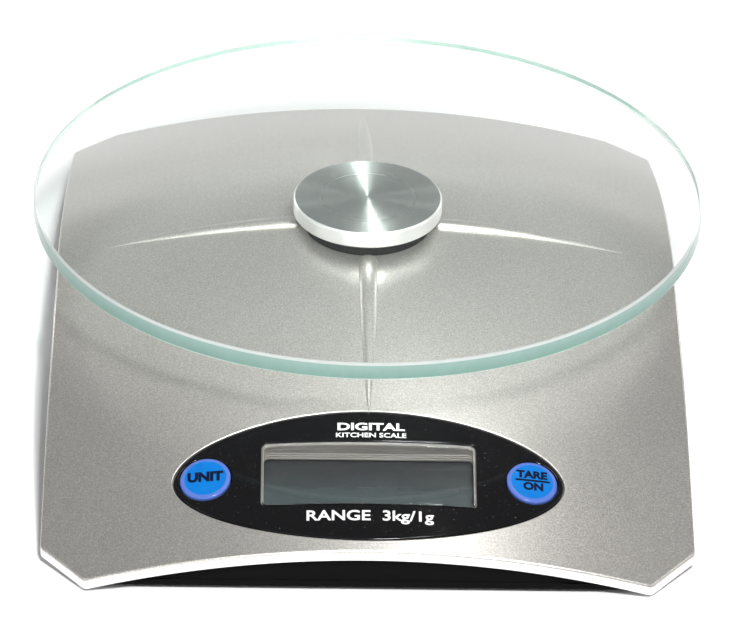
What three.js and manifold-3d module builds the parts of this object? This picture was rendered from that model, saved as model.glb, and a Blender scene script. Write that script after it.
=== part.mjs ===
// A digital gram scale: a clear glass platter on a turned metal hub, a silver domed cover with four
// tapering ribs, a black oval fascia with a display window and two blue buttons, and a black base that
// holds a single-point load cell, a circuit board and two battery cells.
// Millimetres, +Z up, front towards -Y, origin on the table under the centre of the glass.

import * as THREE from 'three';
import { mergeVertices } from 'three/addons/utils/BufferGeometryUtils.js';
import Module from 'manifold-3d';

const wasm = await Module();
wasm.setup();

// ---- driving dimensions ----

const totalHeight = 54;

const glassRadius = 90;
const glassThickness = 5;
const glassBevel = 0.6;
const hubRadius = 20.1;
const hubThickness = 4.6;
const glueFilm = 0.1;
const carrierRadius = 14.5;
const carrierHoleGap = 1;

const coverHalfWidth = 84.1;
const coverHalfDepth = 115;
const cornerCutWidth = 11.9;
const cornerCutDepth = 13.3;
const coverThickness = 2.6;
const lipHeight = 3.1;
const lipWidth = 2;

// The cover's top: highest at the centre, falling towards the sides and, with an easing, to front and back.
const domeApex = 41.3;
const sideFall = 13.3;
const endFall = 27.65;
const endEasing = 7.35;

const ribWidth = 4.8;
const ribRise = 1.5;
const ribStart = 15;
const ribTip = 0.15;
const ribReach = { front: 71, left: 68, right: 68, back: 104 };

const panelY = -91.2;
const fasciaWidth = 100.8;
const fasciaLength = 41.8;
const fasciaShift = -0.8;
const fasciaRoundness = 1.9;
const fasciaThickness = 1;
const recessDepth = 1.3;
const windowWidth = 55.4;
const windowLength = 20.5;
const windowCorner = 1.5;
const windowLedge = 0.7;
const lensThickness = 0.9;

const buttonRadius = 6.8;
const buttonX = 42.5;
const buttonShift = -0.4;
const buttonRise = 0.7;
const flangeWidth = 1.4;
const flangeThickness = 0.8;
const flangeBottom = -8.2;
const capStemRadius = 2.2;

const boardWidth = 104;
const boardLength = 29;
const boardTop = -11.6;
const boardThickness = 1.2;
const lcdTop = -6.6;
const lcdThickness = 2.6;

const baseHalfWidth = 70;
const baseHalfDepth = 112.5;
const baseBottom = 1.2;
const baseFloor = 2;
const baseWall = 2;
const baseCorner = 4;
const skirtHeight = 1.8;
const skirtGrowth = 0.35;
const footRadius = 6;
const footHeight = 1.9;
const footX = 58;
const footY = 78;

const cellLength = 80;
const cellSize = 12.7;
const cellBottom = 14;
const spacerHeight = 3;
const bracketThickness = 2;
const platterTravel = 0.5;

const batteryRadius = 5.2;
const batteryLength = 43.5;
const batteryY = [63, 75];
const doorY = [55, 84];
const doorHalfWidth = 24.5;
const doorThickness = 1.5;

const gap = 0.3;
const reach = 200;
const through = 30;

// ---- solids from three.js geometry ----

function solid(geometry) {
  const bare = geometry.index ? geometry.toNonIndexed() : geometry.clone();
  bare.deleteAttribute('normal');
  bare.deleteAttribute('uv');
  const merged = mergeVertices(bare, 1e-4);
  return new wasm.Manifold(new wasm.Mesh({
    numProp: 3,
    vertProperties: merged.attributes.position.array,
    triVerts: merged.index.array,
  }));
}

function geometryOf(body) {
  const { vertProperties, triVerts } = body.getMesh();
  const geometry = new THREE.BufferGeometry();
  geometry.setAttribute('position', new THREE.BufferAttribute(vertProperties, 3));
  geometry.setIndex(new THREE.BufferAttribute(triVerts, 1));
  geometry.computeVertexNormals();
  return geometry;
}

function box(x0, x1, y0, y1, z0, z1) {
  const geometry = new THREE.BoxGeometry(x1 - x0, y1 - y0, z1 - z0);
  return geometry.translate((x0 + x1) / 2, (y0 + y1) / 2, (z0 + z1) / 2);
}

function rod(x, y, z0, z1, radius, segments = 20) {
  const geometry = new THREE.CylinderGeometry(radius, radius, z1 - z0, segments);
  return geometry.rotateX(Math.PI / 2).translate(x, y, (z0 + z1) / 2);
}

// A turned piece about the Z axis, from [radius, height] pairs that start and end on the axis.
function turned(profile, segments) {
  const points = profile.map(([radius, height]) => new THREE.Vector2(radius, height));
  return new THREE.LatheGeometry(points, segments).rotateX(Math.PI / 2);
}

function prism(shape, z0, z1, curveSegments = 12) {
  const geometry = new THREE.ExtrudeGeometry(shape, { depth: z1 - z0, bevelEnabled: false, curveSegments });
  return geometry.translate(0, 0, z0);
}

function roundedRectangle(width, length, radius) {
  const x = width / 2;
  const y = length / 2;
  const shape = new THREE.Shape();
  shape.moveTo(x, -y + radius);
  shape.lineTo(x, y - radius);
  shape.absarc(x - radius, y - radius, radius, 0, Math.PI / 2);
  shape.absarc(-x + radius, y - radius, radius, Math.PI / 2, Math.PI);
  shape.absarc(-x + radius, -y + radius, radius, Math.PI, 1.5 * Math.PI);
  shape.absarc(x - radius, -y + radius, radius, 1.5 * Math.PI, 2 * Math.PI);
  return shape;
}

function tube(points, radius, steps, sides = 6) {
  const curve = new THREE.CatmullRomCurve3(points.map((point) => new THREE.Vector3(...point)));
  const ring = [];
  for (let i = 0; i < sides; i += 1) {
    const angle = (i / sides) * 2 * Math.PI;
    ring.push(new THREE.Vector2(radius * Math.cos(angle), radius * Math.sin(angle)));
  }
  const options = { steps, extrudePath: curve, bevelEnabled: false };
  return new THREE.ExtrudeGeometry(new THREE.Shape(ring), options);
}

// ---- the scene graph ----

const scale = new THREE.Group();
const panel = new THREE.Group();
scale.add(panel);

const finishes = {
  glass: { color: 0xdff2ea, roughness: 0.03, metalness: 0 },
  turnedMetal: { color: 0xc9cdca, roughness: 0.22, metalness: 1 },
  silverPaint: { color: 0xb3b1ab, roughness: 0.38, metalness: 0.7 },
  blackPlastic: { color: 0x121212, roughness: 0.45, metalness: 0 },
  blackGloss: { color: 0x0c0c0d, roughness: 0.12, metalness: 0 },
  clearPlastic: { color: 0xe8ecec, roughness: 0.05, metalness: 0 },
  bluePlastic: { color: 0x0a63d6, roughness: 0.25, metalness: 0 },
  lcd: { color: 0x566a70, roughness: 0.2, metalness: 0 },
  greyPlastic: { color: 0x8a8378, roughness: 0.5, metalness: 0 },
  rubber: { color: 0x2a2a2a, roughness: 0.85, metalness: 0 },
  board: { color: 0x1d5a34, roughness: 0.5, metalness: 0 },
  epoxy: { color: 0x151515, roughness: 0.35, metalness: 0 },
  aluminium: { color: 0xb9bcbe, roughness: 0.4, metalness: 1 },
  steel: { color: 0x9a9da0, roughness: 0.35, metalness: 1 },
  silicone: { color: 0xe6e4dc, roughness: 0.6, metalness: 0 },
  redWire: { color: 0xb01818, roughness: 0.5, metalness: 0 },
  blackWire: { color: 0x181818, roughness: 0.5, metalness: 0 },
  battery: { color: 0x3a3f45, roughness: 0.3, metalness: 0.6 },
};

function piece(name, shape, finish, parent = scale) {
  const geometry = shape.isBufferGeometry ? shape : geometryOf(shape);
  const mesh = new THREE.Mesh(geometry, new THREE.MeshStandardMaterial(finishes[finish]));
  mesh.name = name;
  parent.add(mesh);
  return mesh;
}

// ---- the dome and the panel's own frame ----

function domeHeight(x, y) {
  const u = x / coverHalfWidth;
  const v = y / coverHalfDepth;
  return domeApex - sideFall * u * u - (endFall + endEasing) * v * v + endEasing * v ** 4;
}

function domeSlope(y) {
  const v = y / coverHalfDepth;
  return (-2 * (endFall + endEasing) * v + 4 * endEasing * v ** 3) / coverHalfDepth;
}

// Everything below the dome lowered by drop.
function underDome(drop) {
  const margin = 4;
  const width = 2 * (coverHalfWidth + margin);
  const depth = 2 * (coverHalfDepth + margin);
  const geometry = new THREE.BoxGeometry(width, depth, 2, 16, 22, 1);
  const position = geometry.attributes.position;
  for (let i = 0; i < position.count; i += 1) {
    const top = domeHeight(position.getX(i), position.getY(i)) - drop;
    position.setZ(i, position.getZ(i) > 0 ? top : -reach);
  }
  return solid(geometry);
}

function layer(upperDrop, lowerDrop) {
  return underDome(upperDrop).subtract(underDome(lowerDrop));
}

// The panel lies tangent to the dome at the fascia's centre: X across, Y up the slope, Z out of the face.
panel.position.set(0, panelY, domeHeight(0, panelY));
panel.rotation.x = Math.atan(domeSlope(panelY));
panel.updateMatrix();

function inPanel(geometry) {
  return solid(geometry.applyMatrix4(panel.matrix));
}

function fasciaShape(inset) {
  const steps = 36;
  const points = [];
  for (let i = 0; i < steps; i += 1) {
    const angle = (i / steps) * 2 * Math.PI;
    const cos = Math.cos(angle);
    const sin = Math.sin(angle);
    const power = 2 / fasciaRoundness;
    const x = (fasciaWidth / 2 - inset) * Math.sign(cos) * Math.abs(cos) ** power;
    const y = (fasciaLength / 2 - inset) * Math.sign(sin) * Math.abs(sin) ** power;
    points.push(new THREE.Vector2(x, y + fasciaShift));
  }
  return new THREE.Shape(points);
}

// The opening that the display is seen through.
function sightShape() {
  return roundedRectangle(windowWidth - 2 * windowLedge, windowLength - 2 * windowLedge, windowCorner);
}

function coverShape(inset) {
  const x = coverHalfWidth - inset;
  const y = coverHalfDepth - inset;
  const shortening = inset * (2 - Math.SQRT2);
  const cutX = x - (cornerCutWidth - shortening);
  const cutY = y - (cornerCutDepth - shortening);
  const right = [[cutX, -y], [x, -cutY], [x, cutY], [cutX, y]];
  const left = [[-cutX, y], [-x, cutY], [-x, -cutY], [-cutX, -y]];
  const corners = [...right, ...left];
  return new THREE.Shape(corners.map(([px, py]) => new THREE.Vector2(px, py)));
}

// ---- platter: glass, hub, carrier and bracket ----

const glassBottom = totalHeight - glassThickness;
const hubTop = glassBottom - glueFilm;
const hubBottom = hubTop - hubThickness;
const cellTop = cellBottom + cellSize;
const bracketBottom = cellTop + spacerHeight;
const bracketTop = bracketBottom + bracketThickness;
const screwY = [24, 34];
const boltHole = 2.2;

function glassPlatter() {
  const rim = glassRadius - glassBevel;
  const profile = [
    [0, glassBottom],
    [rim, glassBottom],
    [glassRadius, glassBottom + glassBevel],
    [glassRadius, totalHeight - glassBevel],
    [rim, totalHeight],
    [0, totalHeight],
  ];
  return turned(profile, 80);
}

function platterHub() {
  const edge = 0.3;
  const seatRadius = 6;
  const seatDepth = 2.4;
  const profile = [
    [0, hubBottom + seatDepth],
    [seatRadius, hubBottom + seatDepth],
    [seatRadius, hubBottom],
    [hubRadius - edge, hubBottom],
    [hubRadius, hubBottom + edge],
    [hubRadius, hubTop - edge],
    [hubRadius - edge, hubTop],
    [0, hubTop],
  ];
  return turned(profile, 48);
}

function hubCarrier() {
  const pegRadius = 5.8;
  const pegHeight = 2;
  const footFlange = 12.5;
  const top = hubBottom - glueFilm;
  const profile = [
    [0, bracketTop],
    [footFlange, bracketTop],
    [footFlange, bracketTop + 3],
    [carrierRadius, bracketTop + 3],
    [carrierRadius, top],
    [pegRadius, top],
    [pegRadius, top + pegHeight],
    [0, top + pegHeight],
  ];
  let body = solid(turned(profile, 36));
  for (const x of carrierScrewX) {
    body = body.subtract(solid(rod(x, 0, bracketTop - 1, bracketTop + 7, 1.4, 10)));
  }
  return body;
}

function platterBracket() {
  const plate = new THREE.Shape();
  const halfWidth = 13;
  const rearY = 40;
  plate.moveTo(halfWidth, 0);
  plate.lineTo(7.5, rearY - 18);
  plate.lineTo(7.5, rearY);
  plate.lineTo(-7.5, rearY);
  plate.lineTo(-7.5, rearY - 18);
  plate.lineTo(-halfWidth, 0);
  plate.absarc(0, 0, halfWidth, Math.PI, 2 * Math.PI);
  let body = solid(prism(plate, bracketBottom, bracketTop, 12));
  for (const y of screwY) {
    body = body.subtract(solid(rod(0, y, bracketBottom - 1, bracketTop + 1, boltHole, 14)));
  }
  for (const x of carrierScrewX) {
    body = body.subtract(solid(rod(x, 0, bracketBottom - 1, bracketTop + 1, 1.5, 10)));
  }
  return body;
}

// A screw with its head's bearing face at z, its shank running along direction (1 up, -1 down).
function screw(x, y, z, direction, { headRadius, headHeight, shankRadius, shankLength }) {
  const slotHalfLength = headRadius * 0.6;
  const slotHalfWidth = headRadius / 8;
  const slotBed = headHeight * 0.6;
  const profile = [
    [0, -headHeight],
    [headRadius, -headHeight],
    [headRadius, 0],
    [shankRadius, 0],
    [shankRadius, shankLength - shankRadius * 0.6],
    [shankRadius * 0.4, shankLength],
    [0, shankLength],
  ];
  const recess = box(
    -slotHalfLength,
    slotHalfLength,
    -slotHalfWidth,
    slotHalfWidth,
    -headHeight - 1,
    -slotBed,
  );
  const body = solid(turned(profile, 10)).subtract(solid(recess));
  const geometry = geometryOf(body);
  if (direction < 0) {
    geometry.rotateX(Math.PI);
  }
  return geometry.translate(x, y, z);
}

const carrierScrewX = [-9.5, 9.5];
const machineScrew = { headRadius: 3.5, headHeight: 2.4, shankRadius: 2, shankLength: 14 };
const longMachineScrew = { ...machineScrew, shankLength: 16 };
const smallScrew = { headRadius: 2.2, headHeight: 1.5, shankRadius: 1.2, shankLength: 8 };
const boardScrew = { headRadius: 2, headHeight: 1.2, shankRadius: 1, shankLength: 4.6 };
const caseScrew = { headRadius: 2.9, headHeight: 2, shankRadius: 1.4, shankLength: 6.2 };

piece('glass_platter', glassPlatter(), 'glass');
piece('platter_hub', platterHub(), 'turnedMetal');
piece('hub_carrier', hubCarrier(), 'blackPlastic');
piece('platter_bracket', platterBracket(), 'steel');
carrierScrewX.forEach((x, i) => {
  piece(`carrier_screw_${i + 1}`, screw(x, 0, bracketBottom, 1, smallScrew), 'steel');
});
screwY.forEach((y, i) => {
  piece(`bracket_screw_${i + 1}`, screw(0, y, bracketTop, -1, machineScrew), 'steel');
});

// ---- load cell ----

function spacer(y0, y1, z0, z1, holes) {
  let body = solid(box(-cellSize / 2, cellSize / 2, y0, y1, z0, z1));
  for (const y of holes) {
    body = body.subtract(solid(rod(0, y, z0 - 1, z1 + 1, boltHole, 14)));
  }
  return body;
}

function loadCell() {
  const middle = cellBottom + cellSize / 2;
  const eye = 4.7;
  const eyeY = 7.5;
  let body = solid(box(-cellSize / 2, cellSize / 2, -cellLength / 2, cellLength / 2, cellBottom, cellTop));
  for (const y of [-eyeY, eyeY]) {
    const hole = new THREE.CylinderGeometry(eye, eye, cellSize + 2, 18).rotateZ(Math.PI / 2);
    body = body.subtract(solid(hole.translate(0, y, middle)));
  }
  body = body.subtract(solid(box(-cellSize, cellSize, -eyeY, eyeY, middle - 1.5, middle + 1.5)));
  for (const y of [...screwY, ...screwY.map((value) => -value)]) {
    body = body.subtract(solid(rod(0, y, cellBottom - 1, cellTop + 1, boltHole, 14)));
  }
  return body;
}

const endY = cellLength / 2;
const spacerLength = 22;
const pedestalTop = cellBottom - spacerHeight;
const counterbore = 6;
const counterboreRadius = 4;

piece('upper_spacer', spacer(endY - spacerLength, endY, cellTop, bracketBottom, screwY), 'aluminium');
piece('load_cell', loadCell(), 'aluminium');
const rearHoles = screwY.map((y) => -y);
piece('lower_spacer', spacer(-endY, -endY + spacerLength, pedestalTop, cellBottom, rearHoles), 'aluminium');
screwY.forEach((y, i) => {
  piece(`cell_screw_${i + 1}`, screw(0, -y, counterbore, 1, longMachineScrew), 'steel');
});
piece('gauge_cover_top', box(-5, 5, -13, 13, cellTop, cellTop + 0.6), 'silicone');
piece('gauge_cover_bottom', box(-5, 5, -13, 13, cellBottom - 0.6, cellBottom), 'silicone');

// A grub screw under the free end stops the beam before it bends too far.
const stopClearance = 0.2;
const stopTop = cellBottom - platterTravel - stopClearance;
const stopBottom = 4;
const stopRadius = 2;
piece('overload_stop', rod(0, screwY[1], stopBottom, stopTop, stopRadius, 16), 'steel');

// ---- cover ----

const caseScrewX = 60;
const caseScrewY = 96;
const caseSplit = 6.4;
const postRadius = 3.4;
const pilotRadius = 1.5;
const pilotDepth = 3.8;

function fourCorners(x, y) {
  return [[-x, -y], [x, -y], [-x, y], [x, y]];
}

// A half-round bead along +X from the hub outwards, narrowing to a point, bent to the dome's curve.
function rib(angle, length) {
  const span = length - ribStart;
  const bead = new THREE.CylinderGeometry(ribTip, ribWidth / 2, span, 10, 8).rotateZ(-Math.PI / 2);
  bead.translate(ribStart + span / 2, 0, 0);
  const nose = new THREE.SphereGeometry(ribWidth / 2, 10, 6).rotateY(Math.PI / 2).translate(ribStart, 0, 0);
  const bent = [bead, nose].map((geometry) => {
    geometry.scale(1, 1, ribRise / (ribWidth / 2)).rotateZ(angle);
    const position = geometry.attributes.position;
    for (let i = 0; i < position.count; i += 1) {
      position.setZ(i, position.getZ(i) + domeHeight(position.getX(i), position.getY(i)));
    }
    return solid(geometry);
  });
  return bent[0].add(bent[1]);
}

function topCover() {
  const inside = solid(prism(coverShape(lipWidth), -reach, reach)).intersect(underDome(coverThickness));
  let body = underDome(0).subtract(underDome(lipHeight).add(inside));
  body = body.intersect(solid(prism(coverShape(0), -reach, reach)));

  for (const [x, y] of fourCorners(caseScrewX, caseScrewY)) {
    const post = solid(rod(x, y, caseSplit, reach, postRadius)).intersect(underDome(coverThickness / 2));
    body = body.add(post).subtract(solid(rod(x, y, 0, caseSplit + pilotDepth, pilotRadius, 10)));
  }

  body = body.add(rib(-Math.PI / 2, ribReach.front));
  body = body.add(rib(Math.PI / 2, ribReach.back));
  body = body.add(rib(0, ribReach.right));
  body = body.add(rib(Math.PI, ribReach.left));
  body = body.subtract(solid(rod(0, 0, 0, reach, carrierRadius + carrierHoleGap, 36)));

  const recess = inPanel(prism(fasciaShape(0), -reach, reach)).subtract(underDome(recessDepth));
  body = body.subtract(recess);
  const sight = sightShape();
  body = body.subtract(inPanel(prism(sight, -through, through, 3)));
  for (const x of [-buttonX, buttonX]) {
    body = body.subtract(inPanel(rod(x, buttonShift, -through, through, buttonRadius + gap, 28)));
  }
  return body;
}

piece('top_cover', topCover(), 'silverPaint');

// ---- fascia, lens and display ----

function fasciaPanel() {
  let body = inPanel(prism(fasciaShape(gap), -reach, reach)).intersect(layer(0.05, fasciaThickness));
  const window = roundedRectangle(windowWidth, windowLength, windowCorner);
  body = body.subtract(inPanel(prism(window, -through, through, 3)));
  for (const x of [-buttonX, buttonX]) {
    body = body.subtract(inPanel(rod(x, buttonShift, -through, through, buttonRadius + gap, 28)));
  }
  return body;
}

function displayLens() {
  const outline = roundedRectangle(windowWidth - 2 * gap, windowLength - 2 * gap, windowCorner);
  return inPanel(prism(outline, -through, through, 3)).intersect(layer(0.15, 0.15 + lensThickness));
}

const holderWidth = 61;
const holderLength = 27.5;
const lcdWidth = 58;
const lcdLength = 24.4;

function lcdHolder() {
  const [x, y] = [holderWidth / 2, holderLength / 2];
  const block = inPanel(box(-x, x, -y, y, boardTop + gap, through));
  const well = sightShape();
  const halfX = lcdWidth / 2 + gap;
  const halfY = lcdLength / 2 + gap;
  let body = block.intersect(underDome(coverThickness + gap));
  body = body.subtract(inPanel(prism(well, -through, through, 3)));
  return body.subtract(inPanel(box(-halfX, halfX, -halfY, halfY, -through, lcdTop + gap)));
}

piece('fascia_panel', fasciaPanel(), 'blackGloss');
piece('display_lens', displayLens(), 'clearPlastic');
piece('lcd_holder', lcdHolder(), 'greyPlastic');
const lcdBottom = lcdTop - lcdThickness;
const lcdBlock = box(-lcdWidth / 2, lcdWidth / 2, -lcdLength / 2, lcdLength / 2, lcdBottom, lcdTop);
piece('lcd_panel', lcdBlock, 'lcd', panel);
for (const [name, side] of [['upper', 1], ['lower', -1]]) {
  const y = side * (lcdLength / 2 - 1.6);
  const strip = box(-26, 26, y - 1, y + 1, boardTop + 0.1, lcdBottom - 0.1);
  piece(`zebra_strip_${name}`, strip, 'silicone', panel);
}

// ---- buttons and their switches ----

const switchHalf = 3;
const switchHeight = 2;
const stemRadius = 1.5;
const stemRise = 0.8;

function buttonCap(side) {
  const x = side * buttonX;
  const stemBottom = boardTop + switchHeight + stemRise + 0.1;
  const column = inPanel(rod(x, buttonShift, flangeBottom, through, buttonRadius, 28));
  const cap = column.intersect(underDome(-buttonRise));
  const flangeTop = flangeBottom + flangeThickness;
  const flange = inPanel(rod(x, buttonShift, flangeBottom, flangeTop, buttonRadius + flangeWidth, 28));
  const stemTop = flangeBottom + flangeThickness / 2;
  const stem = inPanel(rod(x, buttonShift, stemBottom, stemTop, capStemRadius, 14));
  return cap.add(flange).add(stem);
}

function switchBody(side) {
  const x = side * buttonX;
  const y0 = buttonShift - switchHalf;
  const y1 = buttonShift + switchHalf;
  const top = boardTop + switchHeight;
  const body = solid(box(x - switchHalf, x + switchHalf, y0, y1, boardTop + 0.1, top));
  return body.subtract(solid(rod(x, buttonShift, top - 1.5, top + 1, stemRadius + 0.2, 20)));
}

for (const [name, side] of [['unit', -1], ['tare', 1]]) {
  const stemTop = boardTop + switchHeight + stemRise;
  piece(`${name}_button`, buttonCap(side), 'bluePlastic');
  piece(`${name}_switch`, switchBody(side), 'blackPlastic', panel);
  const stem = rod(side * buttonX, buttonShift, stemTop - 1.5, stemTop, stemRadius, 16);
  piece(`${name}_switch_stem`, stem, 'silicone', panel);
}

// ---- circuit board ----

const boardScrewX = 36;
const boardScrewY = 10.5;
const boardHoleRadius = 1.3;

function circuitBoard() {
  const outline = roundedRectangle(boardWidth, boardLength, 1.5);
  let body = solid(prism(outline, boardTop - boardThickness, boardTop, 2));
  for (const [x, y] of fourCorners(boardScrewX, boardScrewY)) {
    body = body.subtract(solid(rod(x, y, -through, 0, boardHoleRadius, 10)));
  }
  return body;
}

piece('circuit_board', circuitBoard(), 'board', panel);
const underBoard = boardTop - boardThickness - 0.1;
fourCorners(boardScrewX, boardScrewY).forEach(([x, y], i) => {
  piece(`board_screw_${i + 1}`, screw(x, y, underBoard, 1, boardScrew), 'steel', panel);
});
const chipHeight = 1.1;
const chip = new THREE.CylinderGeometry(4.6, 5, chipHeight, 20).rotateX(-Math.PI / 2);
chip.translate(-8, 2, underBoard - chipHeight / 2);
piece('controller_chip', chip, 'epoxy', panel);
piece('crystal', box(6, 13, 0, 3, underBoard - 1.8, underBoard), 'steel', panel);
piece('filter_capacitor', rod(22, 4, underBoard - 2.6, underBoard, 2, 16), 'epoxy', panel);

// ---- base ----

function baseShape(growth) {
  const x = baseHalfWidth + growth;
  const y = baseHalfDepth + growth;
  const cut = baseCorner;
  const right = [[x - cut, -y], [x, -y + cut], [x, y - cut], [x - cut, y]];
  const left = [[-x + cut, y], [-x, y - cut], [-x, -y + cut], [-x + cut, -y]];
  const corners = [...right, ...left];
  return new THREE.Shape(corners.map(([px, py]) => new THREE.Vector2(px, py)));
}

const floorTop = baseBottom + baseFloor;
const compartment = { x: 25, y0: 55, y1: 87, top: 14.4 };
const compartmentWall = 1.8;
const bossRadius = 4.6;
const headWellRadius = 3.2;
const caseBearing = baseBottom + 2.5;
const caseHoleRadius = 1.6;
const footClearance = 0.2;
const pedestalHalfWidth = 9;
const stopBoss = { radius: 5, top: 10 };

function bottomCover() {
  const skirtTop = baseBottom + skirtHeight;
  const skirt = solid(prism(baseShape(skirtGrowth), baseBottom, skirtTop));
  let body = solid(prism(baseShape(0), baseBottom, reach)).add(skirt);
  body = body.subtract(solid(prism(baseShape(-baseWall), floorTop, reach + 1)));

  for (const [x, y] of fourCorners(caseScrewX, caseScrewY)) {
    body = body.add(solid(rod(x, y, baseBottom, caseSplit - gap, bossRadius)));
  }
  const { x: halfX, y0, y1, top } = compartment;
  const wall = compartmentWall;
  body = body.add(solid(box(-halfX - wall, halfX + wall, y0 - wall, y1 + wall, baseBottom, top + wall)));
  const pedestal = { x: pedestalHalfWidth, y0: -endY - 2, y1: -endY + spacerLength + 2 };
  body = body.add(solid(box(-pedestal.x, pedestal.x, pedestal.y0, pedestal.y1, baseBottom, pedestalTop)));
  body = body.add(solid(rod(0, screwY[1], baseBottom, stopBoss.top, stopBoss.radius)));
  body = body.intersect(underDome(coverThickness + gap));

  body = body.subtract(solid(box(-halfX, halfX, y0, y1, floorTop, top)));
  const doorway = doorHalfWidth + gap;
  body = body.subtract(solid(box(-doorway, doorway, doorY[0], doorY[1], 0, floorTop + 0.1)));
  for (const [x, y] of fourCorners(caseScrewX, caseScrewY)) {
    body = body.subtract(solid(rod(x, y, 0, caseBearing + 0.1, headWellRadius)));
    body = body.subtract(solid(rod(x, y, 0, reach, caseHoleRadius, 10)));
  }
  for (const [x, y] of fourCorners(footX, footY)) {
    body = body.subtract(solid(rod(x, y, 0, footHeight + 0.1, footRadius + footClearance, 24)));
  }
  for (const y of screwY) {
    body = body.subtract(solid(rod(0, -y, 0, counterbore, counterboreRadius)));
    body = body.subtract(solid(rod(0, -y, 0, reach, boltHole, 14)));
  }
  return body.subtract(solid(rod(0, screwY[1], stopBottom - 0.2, reach, boltHole, 14)));
}

piece('bottom_cover', bottomCover(), 'blackPlastic');
fourCorners(footX, footY).forEach(([x, y], i) => {
  piece(`rubber_foot_${i + 1}`, rod(x, y, 0, footHeight, footRadius, 24), 'rubber');
});
fourCorners(caseScrewX, caseScrewY).forEach(([x, y], i) => {
  piece(`case_screw_${i + 1}`, screw(x, y, caseBearing, 1, caseScrew), 'steel');
});

// ---- battery door, cells and contacts ----

const doorTop = baseBottom + doorThickness;
const hookBottom = floorTop + 0.2;
const hookTop = hookBottom + 1;

function batteryDoor() {
  const [front, rear] = doorY;
  const plate = roundedRectangle(2 * doorHalfWidth, rear - front - 2 * gap, 0.8);
  let body = solid(prism(plate, baseBottom, doorTop, 3).translate(0, (front + rear) / 2, 0));
  for (const x of [-14, 14]) {
    body = body.add(solid(box(x - 3, x + 3, rear - 2, rear - gap, doorTop - 0.5, hookTop)));
    body = body.add(solid(box(x - 3, x + 3, rear - 2, rear + 1.6, hookBottom, hookTop)));
  }
  for (const y of [front + 3, front + 4.6, front + 6.2]) {
    body = body.subtract(solid(box(-8, 8, y, y + 0.7, baseBottom - 1, baseBottom + 0.5)));
  }
  return body;
}

function batteryCell(y, direction) {
  const half = batteryLength / 2;
  const nub = 1.9;
  const profile = [
    [0, -half],
    [batteryRadius - 0.5, -half],
    [batteryRadius, -half + 0.5],
    [batteryRadius, half - 0.5],
    [batteryRadius - 0.5, half],
    [nub, half],
    [nub, half + 0.9],
    [0, half + 0.9],
  ];
  return turned(profile, 16).rotateY((direction * Math.PI) / 2).translate(0, y, batteryHeight);
}

// A wire coil, about X, that presses on the cell's flat end.
function contactSpring(y, direction) {
  const turns = 2.5;
  const start = batteryLength / 2 + 0.5;
  const length = 1.6;
  const points = [];
  for (let i = 0; i <= turns * 8; i += 1) {
    const share = i / (turns * 8);
    const angle = share * turns * 2 * Math.PI;
    const radius = 1.6 + 2.2 * share;
    const along = -direction * (start + length * share);
    points.push([along, y + radius * Math.cos(angle), batteryHeight + radius * Math.sin(angle)]);
  }
  return tube(points, 0.25, 24, 4);
}

function contactPlate(y0, y1, side) {
  const inner = side * (compartment.x - 0.6);
  const outer = side * (compartment.x - 0.1);
  const low = Math.min(inner, outer);
  const high = Math.max(inner, outer);
  return box(low, high, y0, y1, batteryHeight - 4, batteryHeight + 4);
}

const batteryHeight = floorTop + 0.1 + batteryRadius;

piece('battery_door', batteryDoor(), 'blackPlastic');
batteryY.forEach((y, i) => {
  const direction = i === 0 ? 1 : -1;
  piece(`battery_cell_${i + 1}`, batteryCell(y, direction), 'battery');
  piece(`contact_spring_${i + 1}`, contactSpring(y, direction), 'steel');
});
piece('link_contact', contactPlate(batteryY[0] - 4, batteryY[1] + 4, 1), 'steel');
piece('contact_plate_1', contactPlate(batteryY[0] - 4, batteryY[0] + 4, -1), 'steel');
piece('contact_plate_2', contactPlate(batteryY[1] - 4, batteryY[1] + 4, -1), 'steel');

// ---- wiring ----

// Each lead rises behind the board and comes down on its upper edge.
function lead(start, radius, sides, x, ...route) {
  const overBoard = [[x, -64, 15], [x, -71, 20], [x, -76.5, 18.2]];
  return tube([start, ...route, ...overBoard], radius, 18, sides);
}

const wireRadius = 0.7;
const cableRadius = 1.2;
const redRoute = [[-34, 50, 5], [-38, 0, 5], [-39, -42, 7]];
const blackRoute = [[-31, 45, 5], [-34, 0, 5], [-35, -42, 7]];
const cableRoute = [[14, -24, 14], [29, -46, 8]];
piece('battery_wire_red', lead([-28.2, 75, 6], wireRadius, 6, -38, ...redRoute), 'redWire');
piece('battery_wire_black', lead([-28.2, 63, 6], wireRadius, 6, -34, ...blackRoute), 'blackWire');
piece('load_cell_cable', lead([7.8, -12, 20], cableRadius, 6, 35, ...cableRoute), 'silicone');

export default scale;
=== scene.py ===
import math

import bmesh
import bpy
import numpy as np
from mathutils import Matrix, Vector
from mathutils.geometry import delaunay_2d_cdt


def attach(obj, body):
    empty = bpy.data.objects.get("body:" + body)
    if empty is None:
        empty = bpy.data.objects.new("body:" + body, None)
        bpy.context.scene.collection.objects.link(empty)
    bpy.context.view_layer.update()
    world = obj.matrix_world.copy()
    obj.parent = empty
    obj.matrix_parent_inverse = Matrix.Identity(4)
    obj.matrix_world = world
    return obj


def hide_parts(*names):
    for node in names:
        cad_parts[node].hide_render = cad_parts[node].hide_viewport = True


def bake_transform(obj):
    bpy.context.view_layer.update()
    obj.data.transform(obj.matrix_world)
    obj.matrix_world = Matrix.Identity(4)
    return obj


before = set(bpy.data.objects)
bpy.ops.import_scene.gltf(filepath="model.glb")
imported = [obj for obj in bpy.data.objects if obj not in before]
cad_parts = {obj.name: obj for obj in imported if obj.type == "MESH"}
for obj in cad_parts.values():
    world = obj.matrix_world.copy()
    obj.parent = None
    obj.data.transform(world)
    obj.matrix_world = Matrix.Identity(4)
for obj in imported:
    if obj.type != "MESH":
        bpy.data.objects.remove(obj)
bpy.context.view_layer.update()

mm = 0.001  # sizes below are in millimetres, Blender works in metres

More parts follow.
